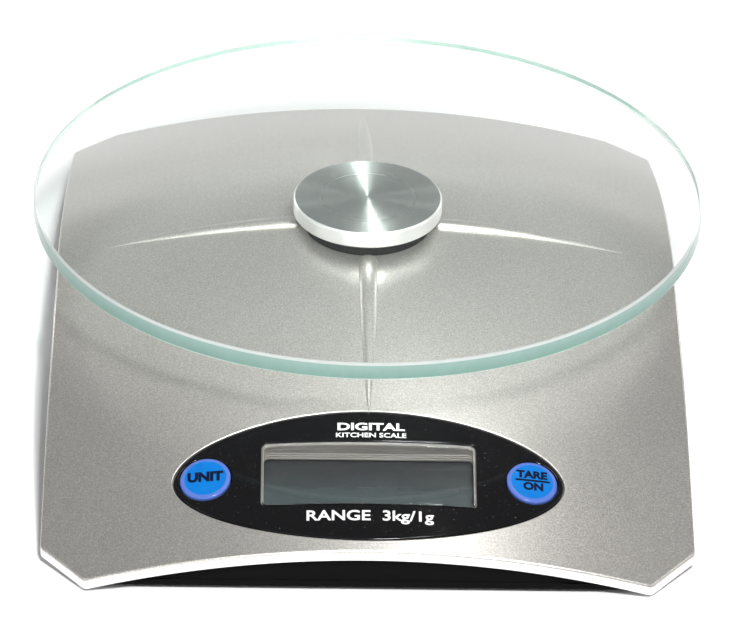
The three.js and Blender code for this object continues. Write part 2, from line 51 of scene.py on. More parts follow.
print("frame loaded:", len(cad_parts), "nodes")

# The cover is a shallow dome: a parabola across, and an eased parabola from front to back.
dome = {
    "apex": 41.3,
    "sideFall": 13.3,
    "endFall": 27.65,
    "endEasing": 7.35,
    "halfWidth": 84.1,
    "halfDepth": 115.0,
}

# The panel is the flat frame that touches the dome under the display.
panel = {"y": -91.2}


def domeHeight(x, y):
    u = x / dome["halfWidth"]
    v = y / dome["halfDepth"]
    ends = (dome["endFall"] + dome["endEasing"]) * v ** 2 - dome["endEasing"] * v ** 4
    return dome["apex"] - dome["sideFall"] * u ** 2 - ends


def domeSlope(y):
    v = y / dome["halfDepth"]
    ends = 2 * (dome["endFall"] + dome["endEasing"]) * v - 4 * dome["endEasing"] * v ** 3
    return -ends / dome["halfDepth"]


def domeNormal(x, y):
    slopeX = -2 * dome["sideFall"] * x / dome["halfWidth"] ** 2
    return Vector((-slopeX, -domeSlope(y), 1)).normalized()


panelTilt = math.atan(domeSlope(panel["y"]))
panelOrigin = Vector((0, panel["y"], domeHeight(0, panel["y"])))
panelUp = Vector((0, math.cos(panelTilt), math.sin(panelTilt)))
panelOut = Vector((0, -math.sin(panelTilt), math.cos(panelTilt)))


def panelFlat(x, y, out):
    return panelOrigin + Vector((x, 0, 0)) + panelUp * y + panelOut * out


def panelPoint(x, y, drop):
    # goes along the panel's normal until it is this far below the dome
    point = panelFlat(x, y, 0)
    for _ in range(8):
        point = point - panelOut * (point.z - domeHeight(point.x, point.y) + drop)
    return point


def domePoint(x, y, drop):
    return Vector((x, y, domeHeight(x, y) - drop))


class Wire:
    # a socket that takes part in plain arithmetic
    def __init__(self, graph, socket):
        self.graph = graph
        self.socket = socket

    def __add__(self, other):
        return self.graph.maths("ADD", self, other)

    def __radd__(self, other):
        return self.graph.maths("ADD", other, self)

    def __sub__(self, other):
        return self.graph.maths("SUBTRACT", self, other)

    def __rsub__(self, other):
        return self.graph.maths("SUBTRACT", other, self)

    def __mul__(self, other):
        return self.graph.maths("MULTIPLY", self, other)

    def __rmul__(self, other):
        return self.graph.maths("MULTIPLY", other, self)

    def __truediv__(self, other):
        return self.graph.maths("DIVIDE", self, other)

    def __rtruediv__(self, other):
        return self.graph.maths("DIVIDE", other, self)

    def __pow__(self, other):
        return self.graph.maths("POWER", self, other)

    def __rpow__(self, other):
        return self.graph.maths("POWER", other, self)


class Graph:
    def __init__(self, tree):
        self.tree = tree

    def make(self, kind, output, settings=None, values=None):
        # output names the socket that is handed on; with None the node itself is
        node = self.tree.nodes.new(kind)
        for key, value in (settings or {}).items():
            setattr(node, key, value)
        for key, value in (values or {}).items():
            if isinstance(value, Wire):
                self.tree.links.new(value.socket, node.inputs[key])
            else:
                node.inputs[key].default_value = value
        return node if output is None else Wire(self, node.outputs[output])

    def maths(self, operation, first, second=0.0):
        return self.make("ShaderNodeMath", 0, {"operation": operation}, {0: first, 1: second})

    def split(self, vector):
        node = self.make("ShaderNodeSeparateXYZ", None, None, {0: vector})
        return [Wire(self, node.outputs[axis]) for axis in range(3)]

    def smooth(self, value, low, high):
        return self.make("ShaderNodeMapRange", "Result", {"interpolation_type": "SMOOTHSTEP"},
                         {"Value": value, "From Min": low, "From Max": high})

    def join(self, source, node, socket):
        self.tree.links.new(source.socket, node.inputs[socket])


class Finish(Graph):
    # one material; its patterns are laid out in millimetres on Object coordinates
    sockets = {
        "colour": "Base Color",
        "metal": "Metallic",
        "rough": "Roughness",
        "relief": "Normal",
        "gloss": "Specular IOR Level",
        "ior": "IOR",
        "clear": "Transmission Weight",
        "coat": "Coat Weight",
        "coatRough": "Coat Roughness",
        "brushed": "Anisotropic",
        "brushTurn": "Anisotropic Rotation",
    }

    def __init__(self, name):
        self.material = bpy.data.materials.new(name)
        self.material.use_nodes = True
        super().__init__(self.material.node_tree)
        self.tree.nodes.clear()
        where = self.make("ShaderNodeTexCoord", "Object")
        self.spot = self.make("ShaderNodeVectorMath", 0, {"operation": "SCALE"}, {0: where, "Scale": 1 / mm})

    def noise(self, size, detail=2.0, spot=None, roughness=0.5):
        values = {"Vector": spot or self.spot, "Scale": 1 / size, "Detail": detail, "Roughness": roughness}
        return self.make("ShaderNodeTexNoise", "Fac", None, values)

    def rings(self, along, density):
        # noise that changes along one value only
        values = {"W": along, "Scale": density}
        return self.make("ShaderNodeTexNoise", "Fac", {"noise_dimensions": "1D"}, values)

    def blend(self, share, first, second):
        values = {0: share}
        for key, colour in ((6, first), (7, second)):  # the Mix node's two colour sockets
            values[key] = colour if isinstance(colour, Wire) else (*colour, 1)
        return self.make("ShaderNodeMix", 2, {"data_type": "RGBA"}, values)

    def bump(self, height, depth, strength=1.0):
        values = {"Height": height, "Distance": depth * mm, "Strength": strength}
        return self.make("ShaderNodeBump", "Normal", None, values)

    def surface(self, **looks):
        values = {self.sockets[key]: value for key, value in looks.items()}
        if isinstance(looks["colour"], tuple):
            values["Base Color"] = (*looks["colour"], 1)
        return self.make("ShaderNodeBsdfPrincipled", "BSDF", None, values)

    def done(self, shader):
        output = self.tree.nodes.new("ShaderNodeOutputMaterial")
        self.join(shader, output, "Surface")
        return self.material

    def painted(self, **looks):
        return self.done(self.surface(**looks))

    def glazed(self, tint, **looks):
        # rays from lamps pass straight through, so what lies under the glass is lit
        shader = self.surface(**looks)
        clear = self.make("ShaderNodeBsdfTransparent", "BSDF", None, {"Color": (*tint, 1)})
        lampRay = self.make("ShaderNodeLightPath", "Is Shadow Ray")
        return self.done(self.make("ShaderNodeMixShader", "Shader", None, {0: lampRay, 1: shader, 2: clear}))


def silverPaint():
    look = {"dark": (0.37, 0.355, 0.331), "light": (0.7, 0.678, 0.641), "flake": 0.34, "grain": 0.8}
    f = Finish("silverPaint")
    flakes = f.smooth(f.noise(look["flake"], 1.0), 0.34, 0.72)
    grain = f.noise(look["grain"], 3.0)
    cloud = f.noise(26, 2.0)
    colour = f.blend(flakes * 0.55 + grain * 0.3 + cloud * 0.15, look["dark"], look["light"])
    rough = 0.26 + grain * 0.06 + flakes * 0.05
    relief = f.bump(flakes * 0.6 + grain * 0.4, 0.02, 0.35)
    return f.painted(colour=colour, metal=0.82, rough=rough, coat=0.25, coatRough=0.14, relief=relief)


def rimPaint():
    # painted reflection: the edge band gets a lighter, less metallic copy of the silver paint, so it reads as
    # bright as the white floor it reflects
    f = Finish("rimPaint")
    flakes = f.smooth(f.noise(0.4, 1.0), 0.34, 0.72)
    wipe = f.noise(12, 3.0)
    colour = f.blend(flakes * 0.4 + wipe * 0.6, (0.72, 0.71, 0.7), (0.86, 0.85, 0.84))
    return f.painted(colour=colour, metal=0.3, rough=0.34 + wipe * 0.08, relief=f.bump(flakes, 0.01, 0.3))


def clearGlass():
    f = Finish("clearGlass")
    smears = f.smooth(f.noise(22, 3.0), 0.55, 0.8)
    tint = (0.93, 0.965, 0.95)
    return f.glazed(tint, colour=(0.975, 0.993, 0.985), clear=1.0, ior=1.52, rough=smears * 0.025)


def glassEdge():
    # the cut edge looks into the pane, so it shows the iron green of float glass; a painted highlight makes
    # it lighter towards its top
    f = Finish("glassEdge")
    height = f.split(f.spot)[2]
    # painted highlight: share that lightens the edge towards its top
    deep = f.smooth(height, 49.0, 54.0)
    streaks = f.noise(3.0, 2.0)
    colour = f.blend(deep * 0.7 + streaks * 0.3, (0.26, 0.5, 0.42), (0.5, 0.76, 0.68))
    return f.glazed((0.1, 0.14, 0.12), colour=colour, clear=0.55, ior=1.52, rough=0.1 + streaks * 0.1)


def polishedBevel():
    f = Finish("polishedBevel")
    chips = f.noise(1.2, 2.0)
    colour = f.blend(chips, (0.86, 0.97, 0.93), (0.97, 1.0, 0.99))
    return f.glazed((0.16, 0.2, 0.18), colour=colour, clear=0.55, ior=1.52, rough=0.12 + chips * 0.12)


def turnedMetal():
    # the tool leaves rings, which spread every lamp into a spoke that runs out from the centre
    look = {"dark": (0.8, 0.85, 0.825), "light": (0.92, 0.97, 0.945), "ring": 0.12, "band": 0.6}
    f = Finish("turnedMetal")
    x, y, _ = f.split(f.spot)
    radius = (x * x + y * y) ** 0.5
    rings = f.rings(radius, 1 / look["ring"])
    bands = f.rings(radius, look["band"])
    colour = f.blend(rings * 0.5 + bands * 0.5, look["dark"], look["light"])
    return f.painted(colour=colour, metal=1.0, rough=0.26 + bands * 0.02, brushed=1.0, brushTurn=0.25)


def polishedMetal():
    f = Finish("polishedMetal")
    lines = f.rings(f.split(f.spot)[2], 7.0)
    haze = f.noise(5.0, 2.0)
    colour = f.blend(lines * 0.5 + haze * 0.5, (0.86, 0.86, 0.855), (0.95, 0.95, 0.94))
    return f.painted(colour=colour, metal=0.85, rough=0.26 + lines * 0.08)


def mouldedPlastic(name, dark, light, rough, grain, depth, gloss=0.5):
    # fine sparked texture of a moulding tool, with a slow drift in tone
    f = Finish(name)
    pits = f.noise(grain, 3.0, roughness=0.6)
    drift = f.noise(18, 2.0)
    colour = f.blend(pits * 0.55 + drift * 0.45, dark, light)
    return f.painted(colour=colour, rough=rough + drift * 0.1, gloss=gloss, relief=f.bump(pits, depth, 0.6))


def glossBlack():
    f = Finish("glossBlack")
    scuffs = f.smooth(f.noise(9, 4.0, roughness=0.65), 0.5, 0.8)
    dust = f.smooth(f.noise(0.5, 1.0), 0.7, 0.8)
    colour = f.blend(dust, (0.004, 0.004, 0.0045), (0.05, 0.048, 0.045))
    return f.painted(colour=colour, rough=0.07 + scuffs * 0.1 + dust * 0.25, ior=1.35)


def clearAcrylic():
    f = Finish("clearAcrylic")
    scuffs = f.smooth(f.noise(6, 4.0, roughness=0.7), 0.5, 0.85)
    tint = (0.93, 0.94, 0.945)
    return f.glazed(tint, colour=(0.97, 0.975, 0.98), clear=1.0, ior=1.4, rough=scuffs * 0.035)


def tuned(colour, shade):
    return tuple(channel * shade for channel in colour)


def displayGlass(name, shade):
    # painted shadow: dark under the upper edge of the window, where the well's wall shades the display and is
    # reflected in it, grey-green further down
    f = Finish(name)
    y = f.split(f.spot)[1]
    # painted shadow: share that darkens the display towards the window's upper edge
    rise = f.smooth(y, -92.0, -83.5)
    film = f.noise(0.35, 2.0)
    cloud = f.noise(14, 2.0)
    share = film * 0.5 + cloud * 0.5
    # painted shadow: the dark colour laid under the window's upper edge
    deep = f.blend(share, tuned((0.004, 0.0048, 0.0055), shade), tuned((0.0055, 0.0065, 0.0073), shade))
    pale = f.blend(share, tuned((0.013, 0.019, 0.0195), shade), tuned((0.017, 0.023, 0.0235), shade))
    return f.painted(colour=f.blend(rise, pale, deep), rough=0.16 + film * 0.08, ior=1.5)


def bluePlastic(name, dark, light, rough):
    f = Finish(name)
    cloud = f.noise(7, 3.0)
    rub = f.smooth(f.noise(2.2, 4.0, roughness=0.7), 0.5, 0.8)
    colour = f.blend(cloud * 0.7 + rub * 0.3, dark, light)
    return f.painted(colour=colour, rough=rough + rub * 0.12, gloss=0.1, coat=0.03, coatRough=0.1)


def printInk(name, dark, light, gloss):
    f = Finish(name)
    mesh = f.noise(0.22, 2.0)
    colour = f.blend(mesh, dark, light)
    return f.painted(colour=colour, rough=0.42 + mesh * 0.15, gloss=gloss, relief=f.bump(mesh, 0.01, 0.4))


def rubber():
    f = Finish("footRubber")
    bloom = f.smooth(f.noise(4.0, 4.0), 0.45, 0.8)
    grit = f.noise(0.4, 2.0)
    colour = f.blend(bloom * 0.6 + grit * 0.4, (0.03, 0.03, 0.03), (0.09, 0.088, 0.085))
    return f.painted(colour=colour, rough=0.75 + grit * 0.15, relief=f.bump(grit, 0.05, 0.5))


def bareMetal(name, dark, light, rough, grain, stretch=(1, 1, 1)):
    # machining or plating marks drawn out along one axis
    f = Finish(name)
    drawn = f.make("ShaderNodeMapping", "Vector", None, {"Vector": f.spot, "Scale": stretch})
    marks = f.noise(grain, 3.0, spot=drawn)
    stain = f.noise(9, 3.0)
    colour = f.blend(marks * 0.6 + stain * 0.4, dark, light)
    return f.painted(colour=colour, metal=1.0, rough=rough + marks * 0.15, relief=f.bump(marks, 0.02, 0.4))


def boardMask():
    f = Finish("boardMask")
    weave = f.noise(0.9, 2.0)
    tracks = f.make("ShaderNodeTexWave", "Fac", {"wave_type": "BANDS", "bands_direction": "X"},
                    {"Vector": f.spot, "Scale": 0.18, "Distortion": 5.0, "Detail": 1.0})
    track = f.smooth(tracks, 0.72, 0.8)
    colour = f.blend(track, (0.012, 0.12, 0.045), (0.035, 0.24, 0.095))
    relief = f.bump(track * 0.7 + weave * 0.3, 0.035, 0.6)
    return f.painted(colour=colour, rough=0.3 + weave * 0.15, relief=relief)


def cellWrap():
    # a dark sleeve with a copper-coloured band round the top of the cell
    f = Finish("cellWrap")
    x = f.split(f.spot)[0]
    band = f.smooth(x, 9.5, 10.0)
    wrinkle = f.noise(2.0, 3.0)
    sleeve = f.blend(wrinkle, (0.022, 0.026, 0.032), (0.045, 0.05, 0.058))
    colour = f.blend(band, sleeve, (0.62, 0.33, 0.13))
    relief = f.bump(wrinkle, 0.04, 0.4)
    return f.painted(colour=colour, metal=band * 0.6, rough=0.24 + wrinkle * 0.12, relief=relief)


epoxyBlack = ((0.01, 0.01, 0.01), (0.03, 0.03, 0.03))
finishes = {
    "clear_glass": clearGlass(),
    "silver_paint": silverPaint(),
    "turned_aluminium": turnedMetal(),
    "black_plastic": mouldedPlastic("blackPlastic", (0.0016, 0.0016, 0.0018), (0.004, 0.004, 0.0044),
                                    0.48, 0.35, 0.05, 0.05),
    "gloss_black": glossBlack(),
    "clear_plastic": clearAcrylic(),
    "grey_plastic": mouldedPlastic("greyPlastic", (0.08, 0.075, 0.067), (0.14, 0.132, 0.118),
                                   0.34, 0.4, 0.04),
    "lcd_glass": displayGlass("displayGlass", 1.0),
    "blue_plastic": bluePlastic("bluePlastic", (0.002, 0.105, 0.37), (0.006, 0.17, 0.52), 0.28),
    "foot_rubber": rubber(),
    "circuit_board_green": boardMask(),
    "black_epoxy": mouldedPlastic("blackEpoxy", *epoxyBlack, 0.3, 0.25, 0.02),
    "cell_aluminium": bareMetal("cellAluminium", (0.5, 0.51, 0.52), (0.72, 0.73, 0.74),
                                0.3, 0.5, (4, 0.12, 4)),
    "zinc_steel": bareMetal("zincSteel", (0.4, 0.41, 0.41), (0.64, 0.65, 0.64), 0.26, 0.8),
    "white_silicone": mouldedPlastic("whiteSilicone", (0.62, 0.61, 0.57), (0.76, 0.75, 0.71), 0.5, 0.6, 0.05),
    "red_wire": mouldedPlastic("redWire", (0.35, 0.012, 0.01), (0.5, 0.03, 0.022), 0.38, 0.5, 0.03),
    "black_wire": mouldedPlastic("blackWire", *epoxyBlack, 0.38, 0.5, 0.03),
    "grey_cable": mouldedPlastic("greyCable", (0.2, 0.2, 0.2), (0.3, 0.3, 0.3), 0.42, 0.5, 0.03),
    "cell_wrap": cellWrap(),
}
# painted reflection of the floor on the cover's edge band
rimReflectionSilver = rimPaint()
edgeGreen = glassEdge()
bevelGlass = polishedBevel()
brightMetal = polishedMetal()
# painted reflection: the caps' rounded rim gets a lighter, violet copy of the blue plastic, standing in for
# the sky it reflects
blueRim = bluePlastic("blueRim", (0.06, 0.11, 0.36), (0.1, 0.17, 0.5), 0.22)
whiteInk = printInk("whiteInk", (0.62, 0.62, 0.61), (0.8, 0.8, 0.79), 0.4)
navyInk = printInk("navyInk", (0.0, 0.001, 0.012), (0.0, 0.004, 0.03), 0.12)
dormantSegments = displayGlass("dormantSegments", 0.9)  # unlit digits are only just darker than their ground
print("finishes made:", len(bpy.data.materials))


def evenly(points, spacing):
    # walks a closed outline and adds points so that no step is longer than the spacing
    walked = []
    for here, there in zip(points, points[1:] + points[:1]):
        count = max(1, math.ceil((Vector(there) - Vector(here)).length / spacing))
        for i in range(count):
            walked.append(tuple(Vector(here).lerp(Vector(there), i / count)))
    return walked


def grown(points, amount):
    # moves an outline outwards, counter-clockwise outlines growing for a positive amount
    moved = []
    count = len(points)
    for i in range(count):
        before = Vector(points[i - 1])
        after = Vector(points[(i + 1) % count])
        along = (after - before).normalized()
        moved.append((points[i][0] + along.y * amount, points[i][1] - along.x * amount))
    return moved


def circle(x, y, radius, count):
    turns = [2 * math.pi * i / count for i in range(count)]
    return [(x + radius * math.cos(a), y + radius * math.sin(a)) for a in turns]


def roundedBox(width, length, radius, spacing=1.5):
    corners = []
    for sx, sy, start in ((1, 1, 0), (-1, 1, 90), (-1, -1, 180), (1, -1, 270)):
        cx, cy = sx * (width / 2 - radius), sy * (length / 2 - radius)
        for step in range(7):
            angle = math.radians(start + 15 * step)
            corners.append((cx + radius * math.cos(angle), cy + radius * math.sin(angle)))
    return evenly(corners, spacing)


def insideOutline(points, outline):
    # which of many points lie inside a closed outline, by counting crossings
    loop = np.array(outline)
    following = np.roll(loop, -1, axis=0)
    inside = np.zeros(len(points), bool)
    for (x0, y0), (x1, y1) in zip(loop, following):
        spans = (y0 > points[:, 1]) != (y1 > points[:, 1])
        with np.errstate(divide="ignore", invalid="ignore"):
            crossing = (x1 - x0) * (points[:, 1] - y0) / (y1 - y0) + x0
        inside ^= spans & (points[:, 0] < crossing)
    return inside


def followDome(mesh):
    # faces that lie along the dome take its exact normals, so gloss runs over them unbroken
    aligned = 0.9995  # cosine of the angle up to which a face counts as lying along it
    normals = [tuple(n.vector) for n in mesh.corner_normals]
    for face in mesh.polygons:
        x, y, _ = face.center / mm
        if face.normal.dot(domeNormal(x, y)) < aligned:
            continue
        for corner in face.loop_indices:
            x, y, _ = mesh.vertices[mesh.loops[corner].vertex_index].co / mm
            normals[corner] = tuple(domeNormal(x, y))
    mesh.normals_split_custom_set(normals)


class Shell:
    # gathers faces in millimetres, then makes one closed, smooth piece of them
    domed = False

    def __init__(self):
        self.points = []
        self.faces = []
        self.slots = []

    def add(self, points, faces, slot=0):
        start = len(self.points)
        self.points += [tuple(p) for p in points]
        self.faces += [tuple(start + i for i in face) for face in faces]
        self.slots += [slot] * len(faces)

    def strip(self, rows, slot=0):
        # closed rows of equal length, joined one to the next
        count = len(rows[0])
        faces = []
        for r in range(len(rows) - 1):
            for i in range(count):
                j = (i + 1) % count
                faces.append((r * count + i, r * count + j, (r + 1) * count + j, (r + 1) * count + i))
        self.add([p for row in rows for p in row], faces, slot)

    def fill(self, rows, spacing, lift, slot=0):
        # fills the plan between an outer row and its holes; lift gives the place of a point inside
        plans = [[(p[0], p[1]) for p in row] for row in rows]
        flat = [Vector(p) for plan in plans for p in plan]
        edges = []
        start = 0
        for plan in plans:
            edges += [(start + i, start + (i + 1) % len(plan)) for i in range(len(plan))]
            start += len(plan)
        low, high = np.min(plans[0], axis=0), np.max(plans[0], axis=0)
        xs = np.arange(low[0] + spacing / 2, high[0], spacing)
        ys = np.arange(low[1] + spacing / 2, high[1], spacing)
        grid = np.array([(x, y) for y in ys for x in xs])
        keep = insideOutline(grid, plans[0])
        for hole in plans[1:]:
            keep &= ~insideOutline(grid, hole)
        rim = np.array([tuple(p) for p in flat])
        grid = grid[keep]
        nearest = (spacing * 0.55) ** 2  # grid points closer to an outline than this are left out
        clear = [i for i, p in enumerate(grid) if np.min(np.sum((rim - p) ** 2, axis=1)) > nearest]
        flat += [Vector(grid[i]) for i in clear]
        made, _, faces, origins, _, _ = delaunay_2d_cdt(flat, edges, [], 0, 1e-7)
        middles = np.array([np.mean([tuple(made[i]) for i in face], axis=0) for face in faces])
        keep = insideOutline(middles, plans[0])
        for hole in plans[1:]:
            keep &= ~insideOutline(middles, hole)
        known = [p for row in rows for p in row]
        points = []
        for place, origin in zip(made, origins):
            if origin and origin[0] < len(known):
                points.append(known[origin[0]])
            else:
                points.append(lift(place.x, place.y))
        self.add(points, [tuple(face) for face, wanted in zip(faces, keep) if wanted], slot)

    def turn(self, profile, count, place=None, slot=0):
        # a profile of (radius, height) turned about Z; place moves each point to where it belongs
        place = place or (lambda x, y, z: (x, y, z))
        rows = []
        for radius, height in profile:
            ring = circle(0, 0, max(radius, 0), count)
            rows.append([place(x, y, height) for x, y in ring])
        self.strip(rows, slot)

    def mesh(self, name, materials, sharp=32):
        mesh = bpy.data.meshes.new(name)
        mesh.from_pydata([tuple(c * mm for c in p) for p in self.points], [], self.faces)
        for material in materials:
            mesh.materials.append(material)
        mesh.polygons.foreach_set("material_index", self.slots)
        work = bmesh.new()
        work.from_mesh(mesh)
        bmesh.ops.remove_doubles(work, verts=work.verts, dist=2e-6)
        bmesh.ops.dissolve_degenerate(work, edges=work.edges, dist=1e-7)
        bmesh.ops.recalc_face_normals(work, faces=work.faces)
        work.to_mesh(mesh)
        work.free()
        mesh.shade_smooth()
        mesh.set_sharp_from_angle(angle=math.radians(sharp))
        if self.domed:
            followDome(mesh)
        return mesh

    def piece(self, name, body, slotName, nodes, materials=None, sharp=32):
        mesh = self.mesh(name, materials or [finishes[slotName]], sharp)
        return finished(name, mesh, body, slotName, nodes)


def finished(name, mesh, body, slotName, nodes=()):
    obj = bpy.data.objects.new(name, mesh)
    bpy.context.scene.collection.objects.link(obj)
    if body:
        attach(obj, body)
    if nodes:
        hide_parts(*nodes)
    return obj


def rounding(radius, steps=4):
    # (outset, drop) pairs of a quarter round, from the top surface over to the wall
    turns = [math.pi / 2 * i / steps for i in range(steps + 1)]
    return [(radius * math.sin(a) - radius, radius - radius * math.cos(a)) for a in turns]


def softened(profile, radius, steps=4):
    # rounds the inner corners of a lathe profile
    soft = [profile[0]]
    for before, here, after in zip(profile, profile[1:], profile[2:]):
        a, b, c = Vector(before), Vector(here), Vector(after)
        reach = min(radius, (a - b).length * 0.45, (c - b).length * 0.45)
        start = b + (a - b).normalized() * reach
        end = b + (c - b).normalized() * reach
        for i in range(steps + 1):
            t = i / steps
            soft.append(tuple(start * (1 - t) ** 2 + b * 2 * t * (1 - t) + end * t ** 2))
    soft.append(profile[-1])
    return soft


camera = {
    "azimuth": -1.22,
    "elevation": 30.78,
    "roll": 1.32,
    "distance": 1222.7,
    "aim": (-1.0, -62.8, 54.0),
    "lens": 232.4,
}


def placeCamera():
    a, e, r = (math.radians(camera[key]) for key in ("azimuth", "elevation", "roll"))
    back = Vector((math.sin(a) * math.cos(e), -math.cos(a) * math.cos(e), math.sin(e)))
    level = Vector((0, 0, 1)).cross(back).normalized()
    upright = back.cross(level)
    right = level * math.cos(r) + upright * math.sin(r)
    up = upright * math.cos(r) - level * math.sin(r)
    turn = Matrix((right, up, back)).transposed()
    eye = (Vector(camera["aim"]) + back * camera["distance"]) * mm
    data = bpy.data.cameras.new("camera")
    data.lens = camera["lens"]
    data.sensor_width = 36
    data.clip_start = 0.05
    obj = bpy.data.objects.new("camera", data)
    obj.matrix_world = Matrix.Translation(eye) @ turn.to_4x4()
    bpy.context.scene.collection.objects.link(obj)
    bpy.context.scene.camera = obj


lamps = {
    "frontLamp": {"place": (0.12, -0.84, 0.98), "size": (0.13, 0.13), "watts": 16.5},
    "frontFill": {"place": (-0.3, -1.45, 0.3), "size": (1.0, 0.4), "watts": 4.5},
    "overhead": {"place": (0.2, -0.02, 1.33), "size": (0.5, 0.06), "watts": 4.6},
    "rearCard": {"place": (0.0, 2.2, 0.26), "size": (3.2, 0.5), "watts": 4.2},
    "rearLeft": {"place": (-0.95, 1.05, 0.5), "size": (0.2, 0.4), "watts": 1.6},
    "rearRight": {"place": (0.95, 1.05, 0.5), "size": (0.2, 0.4), "watts": 1.6},
    "rightBox": {"place": (1.4, -0.2, 0.9), "size": (1.1, 1.1), "watts": 4.2},
    "leftBox": {"place": (-1.3, -0.6, 0.9), "size": (0.7, 0.9), "watts": 2.6},
}
skyStrength = 0.24


def placeLamps():
    for name, lamp in lamps.items():
        data = bpy.data.lights.new(name, "AREA")
        data.shape = "RECTANGLE"
        data.size, data.size_y = lamp["size"]
        data.energy = lamp["watts"]
        obj = bpy.data.objects.new(name, data)
        eye = Vector(lamp["place"])
        towards = Vector((0, -0.02, 0.03)) - eye
        obj.matrix_world = Matrix.Translation(eye) @ towards.to_track_quat("-Z", "Y").to_matrix().to_4x4()
        bpy.context.scene.collection.objects.link(obj)
    world = bpy.data.worlds.new("studio")
    world.use_nodes = True
    sky = world.node_tree.nodes["Background"]
    sky.inputs["Color"].default_value = (1, 1, 1, 1)
    sky.inputs["Strength"].default_value = skyStrength
    bpy.context.scene.world = world
    bpy.context.scene.view_settings.view_transform = "Standard"


def layFloor():
    half = 3.0
    corners = [(-half, -half, 0), (half, -half, 0), (half, half, 0), (-half, half, 0)]
    mesh = bpy.data.meshes.new("floor")
    mesh.from_pydata(corners, [], [(0, 1, 2, 3)])
    f = Finish("floorPaper")
    tone = f.noise(60, 2.0)
    colour = f.blend(tone, (0.93, 0.93, 0.935), (0.95, 0.95, 0.955))
    mesh.materials.append(f.painted(colour=colour, rough=0.6))
    floor = bpy.data.objects.new("floor", mesh)
    bpy.context.scene.collection.objects.link(floor)


placeCamera()
placeLamps()
layFloor()
print("camera, lamps and floor placed")


platter = {
    "top": 54.0,
    "thickness": 5.0,
    "radius": 90.0,
    "bevel": 0.6,
    "hubRadius": 20.1,
    "hubBottom": 44.3,
    "hubTop": 48.9,
    "hubEdge": 0.45,
    "seatRadius": 6.0,
    "seatDepth": 2.4,
    "carrierRadius": 14.5,
    "footRadius": 12.5,
    "footHeight": 3.0,
    "flangeRadius": 16.2,
    "flangeThickness": 1.9,
    "pinRadius": 5.8,
    "carrierTop": 44.2,
    "carrierBottom": 31.7,
}


def makeGlass():
    top = platter["top"]
    bottom = top - platter["thickness"]
    radius, bevel = platter["radius"], platter["bevel"]
    face, edge, polished = 0, 1, 2
    rim = [(radius - bevel, 0), (radius - bevel * 0.25, bevel * 0.55), (radius, bevel)]
    lower = [(r, bottom + rise) for r, rise in rim]
    upper = [(r, top - rise) for r, rise in reversed(rim)]
    glass = Shell()
    for profile, slot in (
        ([(0, bottom), (radius / 2, bottom), lower[0]], face),
        (lower, polished),
        ([lower[-1], (radius, (top + bottom) / 2), upper[0]], edge),
        (upper, polished),
        ([upper[-1], (radius / 2, top), (0, top)], face),
    ):
        glass.turn(profile, 288, slot=slot)
    glass.piece("glass_platter_fine", "platter", "clear_glass", ["glass_platter"],
                [finishes["clear_glass"], edgeGreen, bevelGlass], sharp=20)


def makeHub():
    low, high, radius = platter["hubBottom"], platter["hubTop"], platter["hubRadius"]
    edge, seat, seatDepth = platter["hubEdge"], platter["seatRadius"], platter["seatDepth"]
    dip, dipEnd, steps = 0.05, 0.8, 24  # the tool leaves a shallow dip at the centre of the face
    face = [(0, high - dip), (0.5, high - dip), (dipEnd, high)]
    for step in range(1, steps):
        face.append((dipEnd + (radius - edge - dipEnd) * step / steps, high))
    face.append((radius - edge, high))
    side = [(radius - edge, high), (radius, high - edge), (radius, low + edge), (radius - edge, low)]
    under = [(radius - edge, low), (seat, low), (seat, low + seatDepth), (0, low + seatDepth)]
    hub = Shell()
    hub.turn(face, 192, slot=0)
    hub.turn(softened(side, 0.18), 192, slot=1)
    hub.turn(under, 192, slot=1)
    hub.piece("platter_hub_fine", "platter", "turned_aluminium", ["platter_hub"],
              [finishes["turned_aluminium"], brightMetal], sharp=24)


def makeCarrier():
    low, high, radius = platter["carrierBottom"], platter["carrierTop"], platter["carrierRadius"]
    foot, footTop = platter["footRadius"], low + platter["footHeight"]
    flange, flangeLow = platter["flangeRadius"], high - platter["flangeThickness"]
    pin, pinTop = platter["pinRadius"], high + 2
    profile = [
        (0, low), (foot, low), (foot, footTop), (radius, footTop), (radius, flangeLow - 0.5),
        (flange, flangeLow), (flange, high), (pin, high), (pin, pinTop), (0, pinTop),
    ]
    carrier = Shell()
    carrier.turn(softened(profile, 0.3, 3), 128)
    carrier.piece("hub_carrier_fine", "platter", "black_plastic", ["hub_carrier"])


makeGlass()
makeHub()
makeCarrier()
print("platter made")


cover = {
    "cutWidth": 11.9,
    "cutDepth": 13.3,
    "corner": 1.1,
    "wall": 2.6,
    "lip": 3.1,
    "lipWidth": 2.0,
    "rimRound": 0.55,
    "seamDrop": 0.75,
    "hole": 17.0,
    "recess": 1.3,
    "edgeRound": 0.35,
    "sight": (54.0, 19.1, 1.5),
    "buttonHole": 6.85,
    "grid": 2.2,
}
fascia = {
    "width": 100.8,
    "length": 41.8,
    "shift": -0.8,
    "roundness": 1.9,
    "gap": 0.3,
    "thickness": 1.0,
    "sink": 0.05,
    "window": (55.4, 20.5, 1.5),
    "edge": 0.3,
}
button = {
    "x": 42.0,
    "shift": -0.5,
    "radius": 6.5,
    "rise": 0.55,
    "edge": 1.1,
    "edgeFall": 0.55,
    "wall": (-6.6, -7.25),
    "below": ((6.5, -7.25), (8.2, -7.4), (8.2, -8.2), (2.2, -8.2), (2.2, -8.7), (0, -8.7)),
}
post = {"x": 60, "y": 96, "radius": 3.4, "bore": 1.5, "low": 6.4, "boreTop": 10.2}


